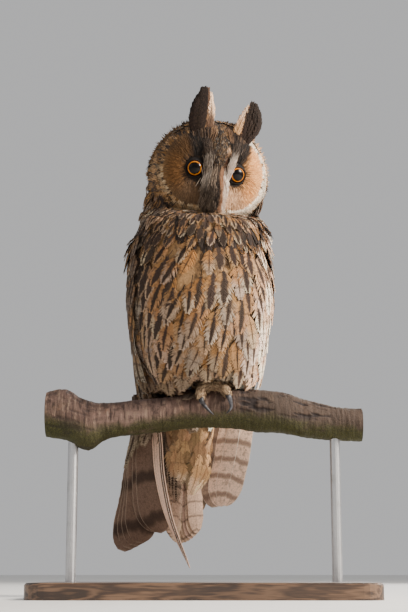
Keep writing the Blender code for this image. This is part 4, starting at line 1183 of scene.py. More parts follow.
def ended(line, up, low):
    """A shaft line cut off where it comes down to the height low, with as many points as before."""
    height = BODY.local(line)[:, 2]
    below = np.nonzero(height < low)[0]
    if not len(below) or below[0] == 0:
        return line, up
    k = below[0]
    last = k - 1 + (height[k - 1] - low) / (height[k - 1] - height[k])
    at = np.linspace(0, last, len(line))
    rows = np.arange(len(line))
    return tuple(np.stack([np.interp(at, rows, v[:, j]) for j in range(3)], 1) for v in (line, up))


def oval(half, count=7, root=0.5, full=0.45):
    """Half widths along a feather: narrow at the root, full in the middle, round at the tip."""
    t = np.linspace(0, 1, count)
    swell = root + (1 - root) * np.minimum(1.0, t / full)
    end = np.sqrt(np.clip(1 - np.clip((t - 0.62) / 0.40, 0, 1) ** 2, 0, 1))
    return half * swell * np.maximum(end, 0.30)


def facing(way, count):
    """One direction for every point of a shaft line."""
    return np.tile(unit(np.array(way)), (count, 1))


def lowest(line, draws):
    """How far down a belly feather may hang: to the branch, over the toes only to their tops."""
    x, y, _ = STAND.local(line)[len(line) // 2]
    side = float(smooth(20, 34, abs(x)))
    toes = float(smooth(-15.0, -10.0, x) * smooth(32.0, 26.0, x))
    axis, radius = perch_axis(x)
    top = axis[2] + radius - 0.21 * float(np.clip(-y - 4.0, 0.0, 36.0))
    over_toes = 21.6 - 0.21 * float(np.clip(-y - 15.0, 0.0, 30.0))
    end = top + draws.uniform(-2.5, 1.0) - side * draws.uniform(2.5, 6.0)
    return end + toes * (over_toes - top + draws.uniform(-1.0, 1.5))


def coat_body():
    """Breast and belly, the tufts that hang to the branch, the throat, and the back, neck and flanks."""
    draws = np.random.default_rng(5)
    front, back = (Coat(name, body_unwrap(-40.0, 175.0)) for name in ("coat_breast", "coat_mantle"))

    def keep(points):
        local = BODY.local(points)
        foot = (local[:, 2] < 26.5) & (local[:, 1] < 14)
        top = on_head(points) & (HEAD.local(points)[:, 2] > -20)
        stub = (local[:, 2] < 15) & (np.abs(body_angle(local)) < 75)
        return ~foot & ~in_face(points, 0.04) & ~top & ~stub & (local[:, 2] > -34)

    def bearings(points):
        return np.abs(body_angle(BODY.local(points)))

    def room(points):
        return 8.2 - 4.0 * smooth(116, 146, heights(points)) - 2.8 * smooth(20, 14, heights(points))

    roots, normals = surface.scatter(lambda p: keep(p) & (bearings(p) < 78), room, 3, tall=1.45)
    local = BODY.local(roots)
    bearing, height = body_angle(local), local[:, 2]
    long = 33.0 - 20.0 * smooth(104, 148, height) + 2.0 * smooth(60, 30, height) - 6.0 * smooth(20, 14, height)
    long = long * draws.uniform(0.88, 1.12, len(roots))
    lift = 4.0 + draws.uniform(-0.6, 0.8, len(roots)) - 1.0 * smooth(130, 158, height)
    lift = lift + 3.0 * smooth(36, 62, bearing) * smooth(96, 148, height)
    lines, ups = surface.lay(roots, normals, flow, long, 8, (0.4, lift), belly_free, 0.10, 8)
    lines = off_branch(lines)
    for k in np.argsort(height):
        half = long[k] * (0.225 + 0.03 * float(smooth(112, 150, height[k]))) * draws.uniform(0.92, 1.1)
        line, up = lines[k], ups[k]
        if height[k] < 60:
            line, up = ended(line, up, lowest(line, draws))
        mark = breast_look(local[k], draws)
        if draws.random() < 0.6 * float(smooth(62, 78, abs(bearing[k]))):
            mark = mantle_look(draws)
        front.feather(line, up, oval(half, 8), mark, draws.random(), barbs=19, ragged=0.21, thick=0.4, lean=0.25,
                      width=1.12)

    # Thin down under the belly's edge closes the way up to the skin
    def under(points):
        local = BODY.local(points)
        return (local[:, 2] > 23.6) & (local[:, 2] < 31) & (local[:, 1] < 40)

    roots, _ = surface.scatter(under, 5.4, 4)
    t = np.linspace(0, 1, 7)
    for root in BODY.local(roots):
        x, y, _ = root
        start = root + np.array((0.0, 0.0, 3.0))
        end = np.array((x * 0.96 + draws.uniform(-2, 2), y * 0.7 - 2.0, 14.0))
        line = BODY.world(start + (end - start) * t[:, None])
        line, _ = ended(line, line, lowest(line, draws) + 1.0)
        # Dimmed as painted shade under the belly's edge
        mark = dimmed(breast_look(np.array((x, min(y, -5.0), 31.0)), draws), 0.8)
        front.feather(off_branch(line), BODY.way(facing((x * 0.02, -1.0, 0.1), 7)), oval(3.2, 7, 0.6), mark,
                      draws.random(), barbs=11, ragged=0.4, thick=0.35, lean=0.34, width=1.1)

    # The ruff: small dark and buff feathers from under the face's rim down over the throat. Its dark and dimmed
    # feathers under the chin are partly painted shade cast by the head
    def ruff(points):
        x, y, z = HEAD.local(points).T
        radial = head_radial(x, z)
        return (y < 6) & (radial > 0.86) & (radial < 1.12) & (z < 4 - 0.1 * np.abs(x)) & (z > -46)

    def downward(points):
        return BODY.way(np.tile((0.0, -0.08, -1.0), (len(points), 1)))

    roots, normals = surface.scatter(ruff, 3.7, 41)
    across = HEAD.local(roots)[:, 0]
    aside = smooth(10, 38, across)
    long = draws.uniform(10.5, 15.5, len(roots)) + 3.0 * aside
    lift = draws.uniform(1.6, 3.2, len(roots)) + 5.0 * aside
    lines, ups = surface.lay(roots, normals, downward, long, 6, (1.0, lift), None, 0.16, 42)
    local = BODY.local(roots)
    # Dark feathers, mostly along the middle under the chin: partly the ruff's own dark mottling and partly painted
    # shade cast by the head
    middle = (noise(roots, 8.5, 7.0) > 0.45 + 0.07 * aside) | (np.abs(across) < 8)
    for k in np.argsort(local[:, 2]):
        mark = breast_look(np.array((*local[k][:2], 124.0)), draws)
        pick = draws.random()
        if pick < 0.12 or middle[k]:
            mark = look(vary(BROWN * 0.6, draws), vary(DARK * 1.3, draws), vary(DARK, draws), 0.40, 0.2, 0.4, 3.0)
        elif pick < 0.65:
            mark["pale"] = vary(OCHRE * 0.5, draws)
        else:
            # Dimmed as painted shade under the head
            mark = dimmed(mark, 0.62)
        front.feather(lines[k], ups[k], oval(2.7, 6), mark, draws.random(), barbs=11, ragged=0.32, thick=0.3, lean=0.3,
                      width=1.1, shaft=0.2)

    roots, normals = surface.scatter(lambda p: keep(p) & (bearings(p) >= 74),
                                     lambda p: 7.4 - 1.9 * smooth(128, 158, heights(p)), 6, tall=1.1)
    local = BODY.local(roots)
    bearing, height = np.abs(body_angle(local)), local[:, 2]
    # Those just over the shoulders lie out over the wings' upper edge
    over = smooth(128, 138, height) * smooth(158, 150, height) * smooth(70, 100, bearing)
    long = (24.0 - 9.0 * smooth(118, 158, height) + 5.0 * over) * draws.uniform(0.84, 1.2, len(roots))
    lines, ups = surface.lay(roots, normals, flow, long, 6, (0.4, 3.4 + 4.4 * over), None, 0.13, 10)
    for k in np.argsort(height):
        mark = mantle_look(draws)
        if draws.random() < 0.6 * float(smooth(98, 76, bearing[k])) and height[k] > 20:
            mark = dimmed(breast_look(local[k], draws), 0.8)
        back.feather(lines[k], ups[k], oval(long[k] * 0.29, 6), mark, draws.random(), barbs=13, ragged=0.14, thick=0.4)
    front.finish(feather_material, "breast")
    back.finish(feather_material, "breast")


def coat_head():
    """Crown, nape and cheeks behind the face's rim."""
    draws = np.random.default_rng(15)
    coat = Coat("coat_crown", head_unwrap)

    def keep(points):
        return on_head(points) & ~in_face(points, -0.06) & (HEAD.local(points)[:, 2] > -26)

    roots, normals = surface.scatter(keep, 4.2, 13)
    long = 11.5 * draws.uniform(0.9, 1.15, len(roots))
    # Those next to the face's rim stand up to it, so that no groove shows from behind
    x, y, z = HEAD.local(roots).T
    near = smooth(14.0, 2.0, y) * smooth(0.80, 0.95, np.hypot(x / HEAD_HALF_WIDTH, z / HEAD_TOP))
    lines, ups = surface.lay(roots, normals, flow, long + 3.0 * near, 5, (0.3, 1.8 + 2.4 * near), None, 0.12, 18)
    lines = lines + (HEAD.way((0.0, -1.0, 0.0)) * near[:, None] * 2.5)[:, None]
    for k in range(len(roots)):
        mark = mantle_look(draws)
        if draws.random() < 0.45:
            mark["pale"] = mix(BUFF, GREY_WHITE, 0.6 * draws.random()) * 0.6
        # Near the rim on the bird's left many are cream: partly painted sunlight on that edge
        if x[k] > 20 and draws.random() < 0.75 * near[k]:
            mark["pale"] = vary(CREAM, draws)
        elif draws.random() < 0.5 * near[k]:
            mark["pale"] = vary(OCHRE * 0.75, draws, 0.3)
        coat.feather(lines[k], ups[k], oval(3.2, 5), mark, draws.random(), barbs=8, ragged=0.2, thick=0.28, shaft=0.2)
    coat.finish(feather_material, "head_plumage")


def face_colour(side, x, z, draws):
    """The colour of the face at x, z of the head's frame, with painted shade on the bird's right disc and painted
    sunlight on its left.
    """
    count = len(x)
    out = side * x
    from_eye = np.hypot(out - EYE_X, (z - EYE_Z) / 1.15)
    turn = np.degrees(np.arctan2(z - EYE_Z, out - EYE_X))
    tone = draws.uniform(0, 1, count)
    spot = np.stack([x, np.zeros(count), z], 1)
    down, far = np.where(turn > 90, -180.0, turn), smooth(8, 12, from_eye)
    cream = smooth(22.3, 25.5, from_eye) * smooth(12, -25, turn) * smooth(0.34, 0.62, noise(spot, 2.6, 5.0) + 0.10)
    # The bird's right disc is painted dark brown, as painted shade over its own ochre, and its left disc bright
    # orange-buff, partly painted sunlight
    if side < 0:
        colour = mix((0.082, 0.036, 0.011), (0.185, 0.088, 0.030), tone)
        layers = (((0.21, 0.135, 0.072), smooth(17, 26, from_eye) * 0.6),
                  # This layer darkens the upper part of the right disc: painted shade
                  ((0.050, 0.028, 0.013), smooth(10, 45, turn) * smooth(160, 115, turn) * 0.6),
                  ((0.125, 0.082, 0.052), smooth(-30, -75, down) * far * 0.65),
                  ((0.50, 0.37, 0.22), cream * 0.6))
    else:
        colour = mix((0.48, 0.195, 0.058), (0.72, 0.37, 0.145), tone)
        layers = (((0.88, 0.66, 0.47), smooth(18, 28, from_eye) * 0.5),
                  ((0.55, 0.40, 0.28), smooth(-40, -85, down) * far * 0.6),
                  ((0.86, 0.74, 0.58), cream * 0.85))
    for other, share in layers:
        colour = mix(colour, other, share)
    # Black runs round the eye, wide on its inner and upper side, and up to the tuft
    ring = smooth(11.6, 9.4, from_eye)
    inward = smooth(EYE_X - 1.0, EYE_X - 5.0, out) * smooth(15.5, 12.0, np.hypot(out - EYE_X, z - EYE_Z))
    inner = 12.0 - 0.50 * np.clip(z - 22, 0, 15) - 1.0 * smooth(14, 8, z)
    outer = 18.6 + 0.20 * np.clip(z - 14, 0, 30) + 4.5 * smooth(26, 38, z)
    outer = outer + (4.0 if side > 0 else 0.0) * smooth(14, 19, z)
    ragged = out + (noise(spot, 7.0, 2.0) - 0.5) * 6
    wide = smooth(inner - 0.8, inner + 0.8, out) * smooth(outer + 3.0, outer - 3.0, ragged) * smooth(10, 15, z)
    black = np.clip(np.maximum(np.maximum(ring, inward), wide), 0, 1)
    return mix(colour, mix((0.010, 0.008, 0.007), (0.055, 0.034, 0.022), tone**4), black)


def rows_look(colours):
    """Looks for many strands that have one colour each and no marks."""
    one, zero = np.ones((len(colours), 1)), np.zeros((len(colours), 1))
    return {"ground": np.concatenate([colours, one], 1), "pale": np.concatenate([colours, zero], 1),
            "mark": np.concatenate([colours * 0.4, zero], 1), "dose": one * (0.0, 0.0, 0.35, 1.0)}


def strand_plan(number, share, seeds):
    """The plan of strands that each follow a shaft's middle."""
    shape = (number, share.shape[1])
    return np.stack([np.zeros(shape), np.broadcast_to(share, shape), np.broadcast_to(seeds[:, None], shape)], -1)


def mirrored(side, heading):
    """A heading in the face's plane, for the side it is on."""
    return heading if side > 0 else np.pi - heading


def lay_on_face(coat, x, z, heading, length, width, lifts, colours, rings=4, thick=0.22):
    """Fine strands on the face from (x, z), each along its heading in the face's plane, in radians."""
    number = len(x)
    share = np.linspace(0, 1, rings)[None]
    gap = np.concatenate([[0.0], np.full(rings - 1, 1.0 / (rings - 1))])[None]
    px = x[:, None] + np.cumsum(np.cos(heading)[:, None] * gap * length[:, None], 1)
    pz = z[:, None] + np.cumsum(np.sin(heading)[:, None] * gap * length[:, None], 1)
    low, high = (np.broadcast_to(np.asarray(v, float), x.shape)[:, None] for v in lifts)
    line = np.stack([px, head_front(px, pz) + 1.2 - (low + (high - low) * share), pz], -1)
    e = 0.4
    slope_x = (head_front(px + e, pz) - head_front(px - e, pz)) / (2 * e)
    slope_z = (head_front(px, pz + e) - head_front(px, pz - e)) / (2 * e)
    up = unit(np.stack([slope_x, -np.ones_like(slope_x), slope_z], -1))
    side = unit(np.cross(unit(np.gradient(line, axis=1)), up))
    half = np.broadcast_to(width, x.shape)[:, None] / 2 * np.clip(1.15 - share**2, 0.05, 1.0)
    plan = strand_plan(number, share, np.arange(number) % 997 / 997.0)
    coat.strands(HEAD.world(line), HEAD.way(side), HEAD.way(up), half, np.full(half.shape, thick), plan,
                 rows_look(colours))


def coat_bristles(draws):
    """The pale brow bands beside the wedge, and the bristles over the bill."""
    bristles = Coat("coat_bristles", head_unwrap)
    for side in (-1, 1):
        number = 640 if side < 0 else 900
        z = draws.uniform(-19, 26, number)
        if side < 0:
            x = np.interp(z, (-17, 2, 16, 29), (5.2, 7.8, 6.6, 9.3))
            x = x + draws.normal(0, 1.0, number) * (1.15 + 0.02 * np.maximum(z, 0))
        else:
            x = np.interp(z, (-17, 8, 22, 29), (6.6, 10.2, 13.2, 14.4)) + draws.normal(0, 0.72, number) * (1 + 0.02 * z)
        upward = z > 4 + draws.normal(0, 2.5, number)
        heading = mirrored(side, np.where(upward, np.pi / 2 - 0.12, -np.pi / 2 + 0.02) + draws.normal(0, 0.13, number))
        length = 8.5 * draws.uniform(0.7, 1.25, number)
        rise = 2.4 + (3.4 if side < 0 else 5.4) * smooth(-6, 4, z) * smooth(26, 14, z) * draws.uniform(0.4, 1.0, number)
        tone = draws.random(number)
        # The bird's right band is painted darker and greyer, partly painted shade, and its left band paler, partly
        # painted sunlight
        if side < 0:
            colour = mix((0.075, 0.055, 0.042), (0.42, 0.355, 0.295), tone)
            colour = mix(colour, mix((0.018, 0.012, 0.010), (0.10, 0.065, 0.045), tone**2), smooth(10, 18, z) * 0.92)
            colour = mix(colour, mix((0.05, 0.036, 0.027), (0.24, 0.185, 0.14), tone**1.5), smooth(13, 0, z) * 0.9)
        else:
            colour = mix((0.38, 0.26, 0.18), (0.92, 0.84, 0.76), tone**0.6)
            colour = mix(colour, (0.84, 0.64, 0.50), smooth(8, -8, z) * 0.4)
            colour = mix(colour, mix((0.018, 0.012, 0.010), (0.12, 0.070, 0.045), tone**2), smooth(13, 20, z) * 0.9)
        lay_on_face(bristles, side * x, z, heading, length, 0.62, (0.8, rise), colour, rings=5, thick=0.28)
    # Over the bill: brown-grey to the bird's right, dark along the middle, pinkish white to its left, the pinkish white
    # partly painted sunlight
    number = 2500
    x = draws.uniform(-9.0, 8.0, number)
    z = draws.uniform(-14, 15, number)
    good = (np.abs(x) > draws.uniform(0.1, 0.6, number)) | (z > -6)
    good = good & (draws.random(number) < smooth(16, 3, z)) & (x < 11 - 0.35 * z)
    x, z = x[good], z[good]
    number = len(x)
    heading = -np.pi / 2 + x * 0.022 + draws.normal(0, 0.10, number)
    tone = draws.random(number)
    colour = mix((0.040, 0.026, 0.018), (0.27, 0.20, 0.145), tone**1.6)
    tall = np.maximum(z, 0)
    for low, high, by, share in (
        ((0.26, 0.21, 0.17), (0.46, 0.40, 0.34), tone, smooth(-3.5, -6.0, x) * smooth(-2, 8, z) * 0.8),
        ((0.012, 0.009, 0.008), (0.06, 0.036, 0.024), tone**2, smooth(2.4, 0.8, np.abs(x - 0.4 - 0.12 * tall)) * 0.9),
        ((0.20, 0.075, 0.030), (0.42, 0.24, 0.14), tone, smooth(1.6, 2.8, x) * smooth(6.0, 4.0, x) * 0.8),
        ((0.66, 0.50, 0.38), (0.92, 0.81, 0.72), tone, smooth(3.8, 5.4, x - 0.10 * tall) * 0.9),
    ):
        colour = mix(colour, mix(low, high, by), share)
    high = np.clip(14.4 - 0.22 * x * x, 5.0, 14.4) * draws.uniform(0.80, 1.0, number) * smooth(14, -3, z) + 2.0
    lay_on_face(bristles, x, z, heading, draws.uniform(7, 11, number), 0.6,
                (1.6 + 0.5 * high * smooth(0, -10, z), high), colour, rings=5, thick=0.28)
    bristles.finish(feather_material, "head_plumage")


def coat_forehead(draws):
    """The dark wedge between the discs."""
    wedge = Coat("coat_forehead", head_unwrap)
    number = 2300
    z = draws.uniform(-14, 46, number)
    wide = np.interp(z, (-14, 0, 10, 25, 46), (1.4, 3.2, 4.6, 5.0, 10.0))
    aside = draws.uniform(-1, 1, number)
    x = np.interp(z, (-8, 10, 25, 46), (1.6, 2.2, 0.8, 3.6)) + aside * wide
    pick = draws.random(number)[:, None]
    colour = np.where(pick < 0.70, DARK * 1.5, np.where(pick < 0.92, BUFF * 0.45, GREY_WHITE * 0.6))
    colour = mix(colour, (0.16, 0.06, 0.025), smooth(0.5, 1.0, aside) * smooth(26, 12, z) * 0.7)
    colour = colour * draws.uniform(0.40, 0.80, (number, 1))
    heading = np.pi / 2 - x * 0.03 + draws.normal(0, 0.16, number)
    lay_on_face(wedge, x, z, heading, draws.uniform(3.2, 5.2, number), draws.uniform(0.9, 1.4, number), (0.6, 1.9),
                colour, thick=0.3)
    wedge.finish(feather_material, "head_plumage")


def coat_rim(draws):
    """The rim of short dark and buff feathers round the discs."""
    rim = Coat("coat_rim", head_unwrap)
    # Rows of the rim from the inside out: distance from the eye, share of cream below, share of pale tips on the left
    rows = ((23.8, 0.85, 0.75), (25.4, 0.5, 0.75), (27.0, 0.15, 0.70), (28.6, 0.05, 0.60), (30.2, 0.0, 0.45),
            (31.8, 0.0, 0.30))
    for side in (-1, 1):
        for away, creamy, pale in rows:
            number = int(away * 3.6)
            turn = np.linspace(-1.9, 1.98, number) + draws.uniform(-0.02, 0.02, number)
            out = EYE_X + away * np.cos(turn) * draws.uniform(0.98, 1.02, number)
            z = EYE_Z + away * np.sin(turn) * 1.15
            shrink = np.minimum(1.0, 0.985 / head_radial(out, z))
            out, z = out * shrink, z * shrink
            good = (out > 1.0) & (shrink > 0.86)
            turn, out, z, shrink = turn[good], out[good], z[good], shrink[good]
            number = len(out)
            pick = draws.random(number)[:, None]
            colour = np.where(pick < 0.46, DARK * 1.5, np.where(pick < 0.80, OCHRE * 0.42, BUFF * 0.85))
            # On the bird's left the cream is paler and more frequent and pale tips are added: partly painted sunlight
            # on that edge
            cream = smooth(0.20, -0.35, turn) * creamy * (draws.random(number) < (0.55 if side < 0 else 0.8))
            if side > 0:
                cream = np.maximum(cream, 0.6 * (draws.random(number) < pale * smooth(1.6, 1.0, turn)))
            colour = mix(colour, (0.44, 0.32, 0.19) if side < 0 else (0.86, 0.76, 0.62), cream)
            heading = mirrored(side, turn) + draws.normal(0, 0.16, number)
            for spread in (-0.35, 0.0, 0.35):
                long = (4.4 - 1.8 * (shrink < 0.999)) * draws.uniform(0.8, 1.15, number)
                shade = colour * draws.uniform(0.75, 1.25, (number, 1))
                lay_on_face(rim, side * out, z, heading + spread, long, 1.15, (0.7, 2.2), shade, thick=0.3)
    rim.finish(feather_material, "head_plumage")


def coat_discs(draws):
    """The two discs of fine feathers that radiate from the eyes."""
    disc = Coat("coat_discs", head_unwrap)
    zones = ((8.2, 13.5, 900, 5.0, 0.8, 1.4), (12.0, 20.0, 1700, 8.0, 0.95, 1.5), (18.0, 26.5, 1900, 8.0, 1.05, 1.6))
    for side in (-1, 1):
        for low, high, number, long, wide, lift in zones:
            r = np.sqrt(draws.uniform(low**2, high**2, number))
            turn = draws.uniform(-np.pi, np.pi, number)
            out, z = EYE_X + r * np.cos(turn), EYE_Z + r * np.sin(turn) * 1.15
            good = (out > 3.0 + 0.10 * np.maximum(z, 0)) & (head_radial(out, z) < 0.93)
            turn, out, z = turn[good], out[good], z[good]
            number = len(turn)
            colours = face_colour(side, side * (out + 0.35 * long * np.cos(turn)), z + 0.35 * long * np.sin(turn),
                                  draws)
            heading = mirrored(side, turn + draws.normal(0, 0.10, number) - 0.15 * np.cos(turn))
            length = long * draws.uniform(0.8, 1.2, number)
            colours = colours * draws.uniform(0.78, 1.18, (number, 1))
            lay_on_face(disc, side * out, z, heading, length, wide, (0.3, lift * draws.uniform(0.7, 1.2, number)),
                        colours)
    disc.finish(feather_material, "head_plumage")


def coat_face():
    """The face's feathers, in the order in which they lie over each other."""
    draws = np.random.default_rng(25)
    for coat in (coat_discs, coat_rim, coat_forehead, coat_bristles):
        coat(draws)


def coat_ears():
    """The two ear tufts, each a fan of long feathers, black with one buff side."""
    # The right tuft's buff side is painted dark brown, partly painted shade
    for side, name, reach, foot, sway_share, base in (
        (-1, "right", 35.5, 14.0, 0.25, (0.09, 0.050, 0.030)),
        (1, "left", 29.5, 16.6, 1.0, (0.48, 0.26, 0.12)),
    ):
        draws = np.random.default_rng(35 + side)
        coat = Coat(f"ear_feathers_{name}", head_unwrap)
        for layer, k in np.ndindex(3, 8):
            spread = k / 7 - 0.5
            long = (reach + 8.0) * (1.0 - 0.42 * abs(spread) ** 1.8) * draws.uniform(0.94, 1.01) * (1.0 - 0.05 * layer)
            start = np.array((side * foot + draws.uniform(-0.5, 0.5), layer * 2.0 - 19.8, 31.0))
            line = []
            for t in (j / 7 for j in range(8)):
                bow = side * 7.5 * math.sin(t * math.pi * 0.55) * sway_share
                wide = 8.4 * (1 + 0.80 * math.sin(math.pi * t * 0.85)) * (1 - 0.22 * t**3)
                line.append(start + np.array((bow + spread * wide, 3.0 * t * t + 2.0 * (1 - t), long * t)))
            t = np.linspace(0, 1, 8)
            half = 3.2 * (0.5 + 1.0 * t - 1.15 * t**3.5) + 0.2
            outward = -side * spread
            if outward > 0.32:
                mark = look(vary(base, draws), vary((0.68, 0.46, 0.31), draws), vary(BROWN, draws), 0.10, 0.0, 0.25, 2)
            elif outward > 0.16:
                mark = look(vary((0.20, 0.10, 0.05), draws), vary((0.10, 0.055, 0.035), draws), vary(DARK, draws), 0.2,
                            0.0, 0.4, 2)
            else:
                colours = vary((0.020, 0.012, 0.009), draws), vary((0.014, 0.009, 0.007), draws, 0.3)
                mark = look(*colours, vary((0.065, 0.038, 0.024), draws), 0.0, 0.0, 0.3, 2)
            ups = facing((side * 0.2 + spread * 0.7, -1.0, 0.12), 8)
            coat.feather(*HEAD.both(line, ups), half, mark, draws.random(), barbs=34, lean=0.20, start=0.02,
                         ragged=0.38, thick=0.28, width=1.3)
        # Short dark feathers close the tuft's foot to the brow
        number = 340
        x = foot - 0.6 + np.clip(draws.normal(0, 4.2, number), -8, 7)
        z = draws.uniform(33, 43, number) - 0.2 * np.abs(x - foot)
        colour = mix((0.018, 0.012, 0.010), (0.10, 0.060, 0.035), draws.random(number) ** 2)
        colour = mix(colour, (0.20, 0.11, 0.06), smooth(foot - 4.0, foot - 7.5, x) * 0.5)
        heading = mirrored(side, np.pi / 2 + (x - foot) * -0.03 + draws.normal(0, 0.12, number))
        lay_on_face(coat, side * x, z, heading, draws.uniform(6, 9, number), 1.0,
                    (0.9, draws.uniform(2.0, 4.5, number)), colour,
                    thick=0.3)
        coat.finish(feather_material, "tuft", f"ear_tuft_{name}")


FLIGHT_LOOKS = {
    "blade": look((0.13, 0.08, 0.06), (0.86, 0.59, 0.45), (0.06, 0.035, 0.028), 0.0, 0.25, 0.25, 7.0),
    "edge": look((0.050, 0.034, 0.027), (0.62, 0.54, 0.46), (0.020, 0.014, 0.012), 0.0, 0.30, 0.3, 6.0, edge=0.16),
    # The dark kind: the right wing's inner flight feathers behind its leading edge, dark as painted shade, with a pale
    # rim that is a painted backlit edge
    "dark": look((0.155, 0.097, 0.070), (0.46, 0.35, 0.26), (0.032, 0.019, 0.014), 0.0, 0.55, 0.25, 3.4, edge=0.075,
                 soft=0.85),
    "inner": look((0.88, 0.62, 0.47), (0.94, 0.80, 0.69), (0.17, 0.105, 0.078), 0.0, 0.60, 0.5, 6.3, edge=0.08,
                  soft=0.78),
    "outer": look((0.30, 0.22, 0.15), (0.40, 0.33, 0.27), (0.055, 0.038, 0.030), 0.0, 0.58, 0.4, 5.0, edge=0.05),
}
# For each kind: how full the root is, where the tip begins to round off, and the first seed, or None for a random one
FLIGHT_SHAPES = {"blade": (0.8, 0.55, None), "dark": (0.55, 0.80, 0.27), "inner": (0.8, 0.78, 0.62),
                 "outer": (0.8, 0.78, 0.41)}
# Flight feathers in groups. Each has its kind, how many, the first one's share of the sheet and the step to the next,
# the height of the roots, the first shaft's path, the steps from feather to feather at root and tip, the tip's own
# place and step where it has one, the width, and the way that the vanes face
FLIGHT = {
    "right": (
        ("blade", 3, 0.10, 0.05, 20.0,
         ((-25.0, 37.0, -12.0), (-21.0, 38.0, -50.0), (-13.5, 36.0, -86.0), (0.3, 33.0, -121.0)),
         (-1.4, 3.2, 0.0), (-1.2, 3.6, 5.0), None, 4.2, (-0.75, -0.66, 0.0)),
        ("dark", 2, 0.26, 0.07, 15.0,
         ((-29.0, 48.0, -20.0), (-26.0, 53.0, -55.0), (-22.5, 55.0, -76.0), (-14.0, 54.5, -92.5)),
         (-1.5, 3.4, 0.0), (-3.6, 4.32, 0.72), None, 25.16, (-0.6, -0.8, 0.0)),
        ("dark", 4, 0.40, 0.08, 14.0,
         ((-30.0, 56.0, -28.0), (-28.5, 63.0, -62.0), (-28.5, 69.0, -85.0), (-27.5, 72.0, -100.0)),
         (0.5, 3.6, 0.0), (-3.744, 3.168, -1.728), ((-29.0, 72.5, -101.0), (-4.2, 2.8, -2.0)), 28.56,
         (-0.45, -0.89, 0.0)),
    ),
    "left": (
        ("inner", 3, 0.10, 0.09, 16.0,
         ((39.5, 23.0, -12.0), (36.5, 27.0, -36.0), (33.0, 32.0, -56.0), (31.5, 35.0, -67.0)),
         (-5.0, 5.8, 0.0), (-4.4, 5.2, -1.5), ((30.0, 36.0, -72.0), (-2.6, 3.4, -0.6)), 22.75, (-0.6, -0.8, 0.0)),
        ("outer", 4, 0.46, 0.11, 14.0,
         ((33.0, 54.0, -14.0), (24.0, 64.0, -46.0), (16.0, 71.5, -72.0), (11.5, 76.0, -86.0)),
         (-6.0, 4.0, 0.0), (-2.2, 2.4, -4.0), None, 19.08, (0.35, 0.94, 0.0)),
    ),
}


def stiff_halves(width, count, root=0.8, end=0.72):
    t = np.linspace(0, 1, count)
    swell = root + (1 - root) * np.minimum(1.0, t / 0.45)
    tip = np.sqrt(np.clip(1 - np.clip((t - end) / (1.005 - end), 0, 1) ** 2, 0, 1))
    return width / 2 * swell * np.maximum(tip, 0.10)


